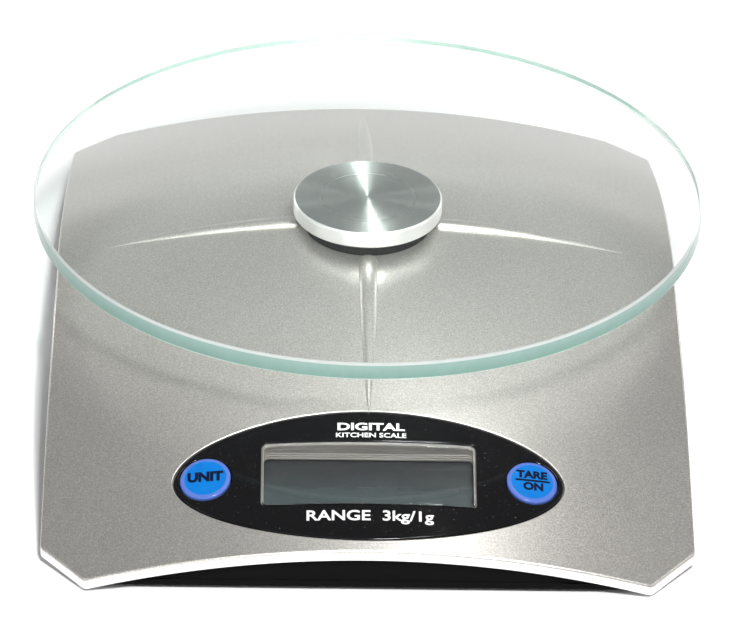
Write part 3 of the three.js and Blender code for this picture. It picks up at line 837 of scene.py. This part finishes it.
def coverOutline(inset):
    # an eight-sided outline with rounded corners, the same number of points at every inset
    x, y = dome["halfWidth"] - inset, dome["halfDepth"] - inset
    shortening = inset * (2 - math.sqrt(2))
    cutX = x - (cover["cutWidth"] - shortening)
    cutY = y - (cover["cutDepth"] - shortening)
    corners = [(x, -cutY), (x, cutY), (cutX, y), (-cutX, y), (-x, cutY), (-x, -cutY), (-cutX, -y), (cutX, -y)]
    outline = []
    steps = 6
    trim = cover["corner"]
    ends = []
    for i, here in enumerate(corners):
        a, b, c = Vector(corners[i - 1]), Vector(here), Vector(corners[(i + 1) % 8])
        ends.append((b + (a - b).normalized() * trim, b, b + (c - b).normalized() * trim))
    for i, (start, b, end) in enumerate(ends):
        for s in range(steps + 1):
            t = s / steps
            outline.append(tuple(start * (1 - t) ** 2 + b * 2 * t * (1 - t) + end * t ** 2))
        following = ends[(i + 1) % 8][0]
        count = 72 if i % 2 == 0 else 9
        for s in range(1, count):
            outline.append(tuple(end.lerp(following, s / count)))
    return outline


def fasciaOutline(inset):
    points = []
    count = 176
    power = 2 / fascia["roundness"]
    for i in range(count):
        angle = 2 * math.pi * i / count
        cos, sin = math.cos(angle), math.sin(angle)
        x = fascia["width"] / 2 * math.copysign(abs(cos) ** power, cos)
        y = fascia["length"] / 2 * math.copysign(abs(sin) ** power, sin)
        points.append((x, y + fascia["shift"]))
    return grown(points, -inset)


def onDome(outline, drop):
    return [domePoint(x, y, drop) for x, y in outline]


def onPanel(outline, drop):
    return [panelPoint(x, y, drop) for x, y in outline]


def makeCover():
    wall, lip, seam = cover["wall"], cover["lip"], cover["seamDrop"]
    shell = Shell()
    shell.domed = True

    # outer edge: round, shadow line, band, foot of the lip, and back up inside
    edge = [(-inset, drop) for inset, drop in rounding(cover["rimRound"], 6)]
    crest = len(edge) - 1
    edge += [(0, seam), (0.06, seam + 0.05), (0.06, seam + 0.17), (0, seam + 0.22)]
    edge += [(0, lip - 0.3), (0.3, lip), (cover["lipWidth"], lip), (cover["lipWidth"], wall)]
    rows = [onDome(coverOutline(inset), drop) for inset, drop in edge]
    shell.strip(rows[:crest + 1])
    # the band below the crest takes the rim paint with its painted reflection
    shell.strip(rows[crest:], slot=2)

    # hole for the hub carrier
    soft = cover["edgeRound"]
    hole = circle(0, 0, cover["hole"], 96)
    holeRows = [onDome(grown(hole, -out), drop) for out, drop in rounding(soft)]
    holeRows.append(onDome(hole, wall))
    shell.strip(holeRows)

    # recess for the fascia, with the display and button openings in its floor
    recess = fasciaOutline(0)
    recessRows = [onPanel(grown(recess, -out), drop) for out, drop in rounding(soft)]
    recessRows.append(onPanel(recess, cover["recess"]))
    shell.strip(recessRows)
    width, length, corner = cover["sight"]
    openings = [roundedBox(width, length, corner)]
    for side in (-1, 1):
        openings.append(circle(side * button["x"], button["shift"], cover["buttonHole"], 56))
    upper = [onPanel(outline, cover["recess"]) for outline in openings]
    lower = [onPanel(outline, wall) for outline in openings]
    for top, bottom in zip(upper, lower):
        shell.strip([top, bottom], slot=1)

    spacing = cover["grid"]
    shell.fill([rows[0], holeRows[0], recessRows[0]], spacing, lambda x, y: domePoint(x, y, 0))
    shell.fill([recessRows[-1], *upper], spacing, lambda x, y: domePoint(x, y, cover["recess"]), slot=1)
    shell.fill([rows[-1], holeRows[-1], *lower], spacing * 1.6, lambda x, y: domePoint(x, y, wall), slot=1)

    # screw posts under the cover
    bore, outside = post["bore"], post["radius"]
    for x in (-post["x"], post["x"]):
        for y in (-post["y"], post["y"]):
            roof = domeHeight(x, y) - wall + 0.3
            profile = [
                (bore, post["low"]), (outside, post["low"]), (outside, roof - 1), (outside, roof - 1.2),
                (bore, post["boreTop"]), (bore, post["low"]),
            ]
            shell.turn(profile, 24, lambda px, py, pz, cx=x, cy=y: (cx + px, cy + py, pz), slot=1)
    shell.piece("top_cover_fine", "housing", "silver_paint", ["top_cover"],
                [finishes["silver_paint"], finishes["grey_plastic"], rimReflectionSilver])


makeCover()
print("cover made")


def plainCopy(obj, name):
    # takes the evaluated shape as a plain mesh and drops the object that made it
    graph = bpy.context.evaluated_depsgraph_get()
    mesh = bpy.data.meshes.new_from_object(obj.evaluated_get(graph))
    mesh.name = name
    bpy.data.objects.remove(obj)
    return mesh


def nodeObject(name, mesh, tree, inputs):
    obj = bpy.data.objects.new(name + "_maker", mesh)
    bpy.context.scene.collection.objects.link(obj)
    modifier = obj.modifiers.new(name, "NODES")
    modifier.node_group = tree
    for item in tree.interface.items_tree:
        if item.in_out == "INPUT" and item.name in inputs:
            modifier[item.identifier] = inputs[item.name]
    return obj


def geometryTree(name, floats, objects=()):
    # a node group that takes a geometry and named numbers and objects, with its inputs as wires
    tree = bpy.data.node_groups.new(name, "GeometryNodeTree")
    tree.interface.new_socket("Geometry", in_out="INPUT", socket_type="NodeSocketGeometry")
    for key in floats:
        tree.interface.new_socket(key, in_out="INPUT", socket_type="NodeSocketFloat")
    for key in objects:
        tree.interface.new_socket(key, in_out="INPUT", socket_type="NodeSocketObject")
    tree.interface.new_socket("Geometry", in_out="OUTPUT", socket_type="NodeSocketGeometry")
    graph = Graph(tree)
    start = graph.make("NodeGroupInput", None)
    return graph, {socket.name: Wire(graph, socket) for socket in start.outputs if socket.name}


def endTree(graph, geometry, material):
    real = graph.make("GeometryNodeRealizeInstances", 0, None, {0: geometry})
    painted = graph.make("GeometryNodeSetMaterial", 0, None, {0: real, "Material": material})
    output = graph.tree.nodes.new("NodeGroupOutput")
    graph.join(painted, output, 0)
    return graph.tree


# Four beads run from the hub over the dome and narrow to a point.
ribs = {"start": 17.4, "width": 5.0, "rise": 1.35, "front": 73, "left": 70, "right": 70, "back": 106}


def ribTree():
    graph, given = geometryTree("coverRibs", ["width", "rise", *dome])
    curve = graph.make("GeometryNodeMeshToCurve", 0, None, {0: given["Geometry"]})
    x, y, _ = graph.split(graph.make("GeometryNodeInputPosition", "Position"))
    u, v = x / given["halfWidth"], y / given["halfDepth"]
    ends = (given["endFall"] + given["endEasing"]) * v * v - given["endEasing"] * v * v * v * v
    fall = given["sideFall"] * u * u + ends
    place = graph.make("ShaderNodeCombineXYZ", 0, None, {0: x, 1: y, 2: given["apex"] - fall})
    laid = graph.make("GeometryNodeSetPosition", 0, None, {0: curve, "Position": place})
    upright = graph.make("GeometryNodeSetCurveNormal", 0, {"mode": "Z_UP"}, {0: laid})
    walk = graph.make("GeometryNodeSplineParameter", None)
    along, run = Wire(graph, walk.outputs["Factor"]), Wire(graph, walk.outputs["Length"])
    half = given["width"] * 0.5
    nose = graph.maths("MINIMUM", run / half, 1)
    bulge = (1 - (1 - nose) * (1 - nose)) ** 0.5
    size = graph.maths("MAXIMUM", bulge * (1 - along ** 2.4), 0.02)
    # the section is an ellipse whose lower half lies inside the cover
    ring = graph.make("GeometryNodeCurvePrimitiveCircle", 0, {"mode": "RADIUS"},
                      {"Resolution": 32, "Radius": half})
    squash = graph.make("ShaderNodeCombineXYZ", 0, None, {0: 1, 1: given["rise"] / half, 2: 1})
    profile = graph.make("GeometryNodeTransform", 0, None, {0: ring, "Scale": squash})
    bead = graph.make("GeometryNodeCurveToMesh", 0, None, {
        "Curve": upright, "Profile Curve": profile, "Scale": size, "Fill Caps": True,
    })
    return endTree(graph, bead, finishes["silver_paint"])


def makeRibs():
    lines = bpy.data.meshes.new("ribLines")
    points, edges = [], []
    count = 90
    for key, direction in (("front", (0, -1)), ("back", (0, 1)), ("left", (-1, 0)), ("right", (1, 0))):
        first = len(points)
        for i in range(count + 1):
            far = ribs["start"] + (ribs[key] - ribs["start"]) * (i / count) ** 1.3
            points.append((direction[0] * far * mm, direction[1] * far * mm, 0))
        edges += [(first + i, first + i + 1) for i in range(count)]
    lines.from_pydata(points, edges, [])
    sizes = {key: value * mm for key, value in {**dome, "width": ribs["width"], "rise": ribs["rise"]}.items()}
    mesh = plainCopy(nodeObject("cover_ribs", lines, ribTree(), sizes), "cover_ribs")
    mesh.shade_smooth()
    finished("cover_ribs", mesh, "housing", "silver_paint")


makeRibs()
print("ribs made")


def makeFascia():
    sink, thick, soft = fascia["sink"], fascia["thickness"], fascia["edge"]
    shell = Shell()
    shell.domed = True
    outer = fasciaOutline(fascia["gap"])
    outerRows = [onPanel(grown(outer, out), sink + drop) for out, drop in rounding(soft)]
    outerRows.append(onPanel(outer, thick))
    shell.strip(outerRows)
    width, length, corner = fascia["window"]
    openings = [roundedBox(width, length, corner)]
    for side in (-1, 1):
        openings.append(circle(side * button["x"], button["shift"], cover["buttonHole"], 72))
    tops, bottoms = [], []
    for outline in openings:
        rows = [onPanel(grown(outline, -out), sink + drop) for out, drop in rounding(soft)]
        rows.append(onPanel(outline, thick))
        shell.strip(rows)
        tops.append(rows[0])
        bottoms.append(rows[-1])
    shell.fill([outerRows[0], *tops], 1.6, lambda x, y: domePoint(x, y, sink))
    shell.fill([outerRows[-1], *bottoms], 2.4, lambda x, y: domePoint(x, y, thick))
    shell.piece("fascia_panel_fine", "housing", "gloss_black", ["fascia_panel"])


lens = {"gap": 0.6, "top": 0.15, "bottom": 1.05, "edge": 0.22}


def makeLens():
    width, length, corner = fascia["window"]
    outline = roundedBox(width - lens["gap"], length - lens["gap"], corner)
    rows = [onPanel(grown(outline, out), lens["top"] + drop) for out, drop in rounding(lens["edge"])]
    rows.append(onPanel(outline, lens["bottom"]))
    shell = Shell()
    shell.domed = True
    shell.strip(rows)
    shell.fill([rows[0]], 1.6, lambda x, y: domePoint(x, y, lens["top"]))
    shell.fill([rows[-1]], 1.6, lambda x, y: domePoint(x, y, lens["bottom"]))
    shell.piece("display_lens_fine", "housing", "clear_plastic", ["display_lens"])


# The holder's well narrows in small steps (inset, height) down to the display.
holder = {
    "width": 61.0,
    "length": 27.5,
    "drop": 2.95,
    "bottom": -11.3,
    "seat": -6.3,
    "seatWidth": 58.6,
    "seatLength": 25.0,
    "well": -4.95,
    "steps": ((0.35, -5.0), (0.35, -5.35), (0.75, -5.4), (0.75, -5.8), (1.1, -5.85), (1.1, -6.3)),
}
display = {
    "width": 58.0,
    "length": 24.4,
    "top": -6.6,
    "edge": ((-0.15, 0), (0, 0.15), (0, 1.15), (-0.2, 1.2), (-0.2, 1.4), (0, 1.45), (0, 2.45), (-0.15, 2.6)),
}
digit = {
    "count": 4,
    "pitch": 10,
    "reach": 3,
    "bar": 0.95,
    "long": 5.6,
    "lean": 0.1,
    "shift": -0.5,
    "body": (0.005, 0.035),
}


def flat(outline, out):
    return [panelFlat(x, y, out) for x, y in outline]


def flatLift(out):
    # for a fill: the point above a place in the plan, this far out from the panel's flat frame
    def lift(x, y):
        return panelFlat(x, (y - panelOrigin.y - panelOut.y * out) / panelUp.y, out)
    return lift


def makeHolder():
    outer = roundedBox(holder["width"], holder["length"], 0.8)
    width, length, corner = cover["sight"]
    well = roundedBox(width, length, corner)
    seat = roundedBox(holder["seatWidth"], holder["seatLength"], 0.4)
    shell = Shell()
    rim = [onPanel(well, holder["drop"]), flat(well, holder["well"])]
    for inset, out in holder["steps"]:
        rim.append(flat([(x, y * (1 - 2 * inset / length)) for x, y in well], out))
    shell.strip(rim)
    sides = [onPanel(outer, holder["drop"]), flat(outer, holder["bottom"])]
    shell.strip(sides)
    shell.fill([sides[0], rim[0]], 1.8, lambda x, y: domePoint(x, y, holder["drop"]))
    seatRows = [flat(seat, holder["seat"]), flat(seat, holder["bottom"])]
    shell.strip(seatRows)
    shell.fill([seatRows[0], rim[-1]], 1.8, flatLift(holder["seat"]))
    shell.fill([sides[-1], seatRows[-1]], 1.8, flatLift(holder["bottom"]))
    shell.piece("lcd_holder_fine", "housing", "grey_plastic", ["lcd_holder"])


def makeDisplay():
    top = display["top"]
    outline = roundedBox(display["width"], display["length"], 0.3)
    rows = [flat(grown(outline, grow), top - drop) for grow, drop in display["edge"]]
    shell = Shell()
    shell.strip(rows)
    for row, drop in ((rows[0], 0), (rows[-1], display["edge"][-1][1])):
        shell.fill([row], 3.0, flatLift(top - drop))
    shell.piece("lcd_panel_fine", "housing", "lcd_glass", ["lcd_panel"], sharp=24)

    # four seven-bar digits, just visible in the unlit display
    digits = Shell()
    bar, long, reach = digit["bar"], digit["long"], digit["reach"]
    level = [(0, 2 * reach, True), (0, 0, True), (0, -2 * reach, True)]
    upright = [(sx * reach, sy * reach, False) for sy in (1, -1) for sx in (-1, 1)]
    for place in range(digit["count"]):
        centre = digit["pitch"] * (place - (digit["count"] - 1) / 2)
        for bx, by, across in level + upright:
            if across:
                dx, dy = long / 2 - 0.35, bar / 2
                corners = [(-dx, 0), (-dx + dy, -dy), (dx - dy, -dy), (dx, 0), (dx - dy, dy), (-dx + dy, dy)]
            else:
                dx, dy = bar / 2, long / 2 - 0.2
                corners = [(0, -dy), (dx, -dy + dx), (dx, dy - dx), (0, dy), (-dx, dy - dx), (-dx, -dy + dx)]
            plan = []
            for px, py in corners:
                plan.append((centre + bx + px + (by + py) * digit["lean"], by + py + digit["shift"]))
            lowRow, highRow = (flat(plan, top + out) for out in digit["body"])
            digits.strip([lowRow, highRow])
            digits.add(highRow, [tuple(range(6))])
            digits.add(lowRow, [tuple(reversed(range(6)))])
    digits.piece("display_segments", "housing", "lcd_glass", [], [dormantSegments])


makeFascia()
makeLens()
makeHolder()
makeDisplay()
print("fascia, lens and display made")


def makeButton(key, side, node):
    radius, edge, rise = button["radius"], button["edge"], button["rise"]
    centre = side * button["x"]
    cap = Shell()
    cap.domed = True
    count = 96

    def ring(r, drop):
        return [panelPoint(centre + x, button["shift"] + y, drop) for x, y in circle(0, 0, r, count)]

    def flatRing(r, out):
        return [panelFlat(centre + x, button["shift"] + y, out) for x, y in circle(0, 0, r, count)]

    crown = [ring((radius - edge) * step / 10, -rise) for step in range(11)]
    crown[0] = [panelPoint(centre, button["shift"], -rise)] * count
    cap.strip(crown, slot=0)
    # the rounded rim and the wall below take the blue with its painted reflection
    wall = [ring(radius + out, -rise + drop * button["edgeFall"] / edge) for out, drop in rounding(edge, 7)]
    wall += [flatRing(radius, out) for out in button["wall"]]
    cap.strip(wall, slot=1)
    cap.strip([flatRing(r, out) for r, out in button["below"]], slot=1)
    cap.piece(f"{key}_button_fine", f"{key}_key", "blue_plastic", [node],
              [finishes["blue_plastic"], blueRim], sharp=40)


def lettering(name, body, words, finish, drop, slotName, bars=()):
    # each word is (text, x, y, height, stretch, spread), laid on the surface and given a little body
    thick = 0.03
    points, faces = [], []
    for text, x, y, height, stretch, spread in words:
        curve = bpy.data.curves.new(name, "FONT")
        curve.body = text
        curve.align_x = "CENTER"
        curve.align_y = "CENTER"
        curve.offset = spread
        curve.resolution_u = 5
        holderObject = bpy.data.objects.new(name, curve)
        bpy.context.scene.collection.objects.link(holderObject)
        graph = bpy.context.evaluated_depsgraph_get()
        graph.update()
        mesh = bpy.data.meshes.new_from_object(holderObject.evaluated_get(graph))
        bpy.data.objects.remove(holderObject)
        work = bmesh.new()
        work.from_mesh(mesh)
        bmesh.ops.remove_doubles(work, verts=work.verts, dist=1e-5)
        bmesh.ops.triangulate(work, faces=work.faces)
        work.verts.index_update()
        low = [v.co.copy() for v in work.verts]
        tall = max(c.y for c in low) - min(c.y for c in low)
        midX, midY = ((max(c[axis] for c in low) + min(c[axis] for c in low)) / 2 for axis in (0, 1))
        scale = height / tall
        start = len(points)
        count = len(low)
        for lift in (drop, drop - thick):
            for c in low:
                points.append(panelPoint(x + (c.x - midX) * scale * stretch, y + (c.y - midY) * scale, lift))
        for face in work.faces:
            ids = [v.index for v in face.verts]
            if face.normal.z < 0:
                ids.reverse()
            faces.append(tuple(start + count + i for i in ids))
            faces.append(tuple(start + i for i in reversed(ids)))
        for rimEdge in work.edges:
            if len(rimEdge.link_faces) == 1:
                a, b = (v.index for v in rimEdge.verts)
                faces.append((start + a, start + b, start + count + b, start + count + a))
        work.free()
        bpy.data.meshes.remove(mesh)
    shell = Shell()
    shell.add(points, faces)
    for x, y, width, height in bars:
        outline = roundedBox(width, height, height * 0.4, 1.0)
        rows = [[panelPoint(x + px, y + py, lift) for px, py in outline] for lift in (drop, drop - thick)]
        shell.strip(rows)
        for row in rows:
            shell.add(row, [tuple(range(len(row)))])
    shell.piece(name, body, slotName, [], [finish])


makeButton("unit", -1, "unit_button")
makeButton("tare", 1, "tare_button")
keyDrop = -button["rise"] - 0.01
lettering("unit_lettering", "unit_key", [
    ("UNIT", -button["x"], -0.1, 3.2, 0.98, 0.06),
], navyInk, keyDrop, "blue_plastic")
lettering("tare_lettering", "tare_key", [
    ("TARE", button["x"], 1.75, 2.5, 1.05, 0.055),
    ("ON", button["x"] + 0.3, -2.0, 2.6, 1.02, 0.055),
], navyInk, keyDrop, "blue_plastic", [(button["x"] + 0.2, -0.15, 9.0, 0.6)])
inkDrop = fascia["sink"] - 0.01
lettering("panel_lettering", "housing", [
    ("DIGITAL", 0.6, 15.0, 2.5, 1.42, 0.03),
    ("KITCHEN SCALE", 0.6, 12.2, 1.5, 1.22, 0.015),
    ("RANGE  3kg/1g", 0.3, -14.3, 4.25, 1.14, 0.018),
], whiteInk, inkDrop, "gloss_black")
print("buttons and lettering made")


def copyTree(name, material):
    graph, given = geometryTree(name, ["Turn"], ["Copy"])
    dots = graph.make("GeometryNodeMeshToPoints", 0, None, {0: given["Geometry"]})
    source = graph.make("GeometryNodeObjectInfo", "Geometry", {"transform_space": "ORIGINAL"},
                        {"Object": given["Copy"]})
    chance = graph.make("FunctionNodeRandomValue", 1, {"data_type": "FLOAT"}, {2: 0.0, 3: 1.0, "Seed": 7})
    spin = graph.make("ShaderNodeCombineXYZ", 0, None, {2: chance * given["Turn"]})
    placed = graph.make("GeometryNodeInstanceOnPoints", 0, None,
                        {0: dots, "Instance": source, "Rotation": spin})
    return endTree(graph, placed, material)


def scatter(name, places, source, turn, body, slotName, nodes):
    dots = bpy.data.meshes.new(name + "Dots")
    dots.from_pydata([tuple(c * mm for c in place) for place in places], [], [])
    original = bpy.data.objects.new(name + "_one", source)
    bpy.context.scene.collection.objects.link(original)
    tree = copyTree(name, finishes[slotName])
    mesh = plainCopy(nodeObject(name, dots, tree, {"Turn": turn, "Copy": original}), name)
    bpy.data.objects.remove(original)
    mesh.set_sharp_from_angle(angle=math.radians(32))
    return finished(name, mesh, body, slotName, nodes)


foot = {"radius": 6.0, "height": 1.9, "x": 58.0, "y": 78.0}
caseScrew = {
    "x": 60.0,
    "y": 96.0,
    "bearing": 3.7,
    "head": 2.9,
    "headHeight": 2.0,
    "shank": 1.4,
    "length": 6.2,
    "turns": 9,
    "root": 0.72,
}


def numbered(name, count):
    return [f"{name}_{i}" for i in range(1, count + 1)]


def makeFeet():
    r, h = foot["radius"], foot["height"]
    profile = [(0, 0.35), (2.2, 0.35), (2.5, 0), (r - 0.4, 0), (r, 0.4), (r, h), (0, h)]
    one = Shell()
    one.turn(softened(profile, 0.2, 3), 56)
    places = [(sx * foot["x"], sy * foot["y"], 0) for sy in (-1, 1) for sx in (-1, 1)]
    source = one.mesh("foot", [finishes["foot_rubber"]])
    scatter("rubber_feet", places, source, 0.0, "housing", "foot_rubber", numbered("rubber_foot", 4))


def crossHead(shell, radius, height, z, count=48):
    # a pan head seen from below, with a cross driven into it
    arm, deep = radius * 0.16, height * 0.6
    rim = circle(0, 0, radius * 0.72, count)
    reach = radius * 0.56
    cross = []
    for sx, sy in ((1, 1), (-1, 1), (-1, -1), (1, -1)):
        ends = [(sx * reach, sy * arm), (sx * arm, sy * arm), (sx * arm, sy * reach)]
        cross += ends if sx * sy > 0 else ends[::-1]
    cross = evenly(cross, 0.4)
    face = [Vector((x, y, z - height)) for x, y in rim]
    mouth = [Vector((x, y, z - height)) for x, y in cross]
    bed = [Vector((x * 0.7, y * 0.7, z - height + deep)) for x, y in cross]
    shell.fill([face, mouth], 0.6, lambda x, y: Vector((x, y, z - height)))
    shell.strip([mouth, bed])
    shell.fill([bed], 0.5, lambda x, y: Vector((x, y, z - height + deep)))
    return [face] + [[Vector((x, y, high)) for x, y in circle(0, 0, r, count)] for r, high in (
        (radius * 0.9, z - height * 0.88), (radius, z - height * 0.6), (radius, z))]


def makeCaseScrews():
    z, r, length = caseScrew["bearing"], caseScrew["shank"], caseScrew["length"]
    one = Shell()
    rows = crossHead(one, caseScrew["head"], caseScrew["headHeight"], z)
    count = len(rows[0])
    steps = caseScrew["turns"] * 4
    profile = [(r, z)]
    for step in range(1, steps + 1):
        profile.append((r * (1.0 if step % 4 else caseScrew["root"]), z + (length - 1.0) * step / steps))
    profile += [(0.2, z + length), (0, z + length)]
    rows += [[Vector((x, y, high)) for x, y in circle(0, 0, radius, count)] for radius, high in profile]
    one.strip(rows)
    places = [(sx * caseScrew["x"], sy * caseScrew["y"], 0) for sy in (-1, 1) for sx in (-1, 1)]
    source = one.mesh("caseScrew", [finishes["zinc_steel"]])
    scatter("case_screws", places, source, 6.28, "housing", "zinc_steel", numbered("case_screw", 4))


makeFeet()
makeCaseScrews()
print("feet and case screws placed")


# Moulded and machined parts get their edges broken by a small bevel. The load cell and its covers ride on
# no single body.
eased = {
    "bottom_cover": {"body": "housing", "slot": "black_plastic", "bevel": 0.35},
    "battery_door": {"body": "door", "slot": "black_plastic", "bevel": 0.25},
    "platter_bracket": {"body": "platter", "slot": "zinc_steel", "bevel": 0.25},
    "upper_spacer": {"body": "platter", "slot": "cell_aluminium", "bevel": 0.25},
    "lower_spacer": {"body": "housing", "slot": "cell_aluminium", "bevel": 0.25},
    "load_cell": {"body": None, "slot": "cell_aluminium", "bevel": 0.25},
    "gauge_cover_top": {"body": None, "slot": "white_silicone", "bevel": 0.22},
    "gauge_cover_bottom": {"body": None, "slot": "white_silicone", "bevel": 0.22},
    "circuit_board": {"body": "housing", "slot": "circuit_board_green", "bevel": 0.12},
    "controller_chip": {"body": "housing", "slot": "black_epoxy", "bevel": 0.12},
    "unit_switch": {"body": "housing", "slot": "black_plastic", "bevel": 0.15},
    "tare_switch": {"body": "housing", "slot": "black_plastic", "bevel": 0.15},
}


def inOrder(work, name):
    # the bevel leaves its points in no fixed order, so they are sorted and every run comes out alike
    verts = sorted(work.verts, key=lambda vert: tuple(vert.co))
    number = {vert: i for i, vert in enumerate(verts)}
    faces = []
    for face in work.faces:
        corners = [number[vert] for vert in face.verts]
        first = corners.index(min(corners))
        faces.append(tuple(corners[first:] + corners[:first]))
    mesh = bpy.data.meshes.new(name)
    mesh.from_pydata([tuple(vert.co) for vert in verts], [], sorted(faces))
    return mesh


def easeEdges(name, look):
    work = bmesh.new()
    work.from_mesh(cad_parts[name].data)
    bmesh.ops.remove_doubles(work, verts=work.verts, dist=2e-6)
    bmesh.ops.dissolve_limit(work, angle_limit=math.radians(1), verts=work.verts, edges=work.edges)
    turned = [e for e in work.edges if e.is_manifold and e.calc_face_angle() > math.radians(35)]
    bmesh.ops.bevel(work, geom=turned, offset=look["bevel"] * mm, offset_type="OFFSET", segments=2,
                    profile=0.5, affect="EDGES", clamp_overlap=True)
    bmesh.ops.triangulate(work, faces=work.faces)
    mesh = inOrder(work, name + "_eased")
    work.free()
    mesh.materials.append(finishes[look["slot"]])
    mesh.shade_smooth()
    mesh.set_sharp_from_angle(angle=math.radians(50))
    maker = bpy.data.objects.new(name + "_maker", mesh)
    bpy.context.scene.collection.objects.link(maker)
    maker.modifiers.new("flatFaces", "WEIGHTED_NORMAL").keep_sharp = True
    obj = finished(name + "_eased", plainCopy(maker, name + "_eased"), look["body"], look["slot"], [name])
    if not look["body"]:
        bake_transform(obj)


for name, look in eased.items():
    easeEdges(name, look)
print("edges eased on", len(eased), "pieces")


carried = {
    "zinc_steel": [
        *numbered("carrier_screw", 2), *numbered("bracket_screw", 2), *numbered("cell_screw", 2),
        *numbered("board_screw", 4), *numbered("contact_spring", 2), *numbered("contact_plate", 2),
        "overload_stop", "crystal", "link_contact",
    ],
    "white_silicone": ["zebra_strip_upper", "zebra_strip_lower", "unit_switch_stem", "tare_switch_stem"],
    "black_epoxy": ["filter_capacitor"],
    "cell_wrap": numbered("battery_cell", 2),
    "red_wire": ["battery_wire_red"],
    "black_wire": ["battery_wire_black"],
    "grey_cable": ["load_cell_cable"],
}


def paintCarried():
    painted = set()
    for slotName, names in carried.items():
        for name in names:
            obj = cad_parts[name]
            if not obj.material_slots:
                obj.data.materials.append(finishes[slotName])
            for material in obj.material_slots:
                material.link = "OBJECT"
                material.material = finishes[slotName]
            painted.add(name)
    shown = {name for name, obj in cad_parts.items() if not obj.hide_render}
    print("carried-over pieces painted:", len(painted), "left out:", sorted(shown - painted))


paintCarried()
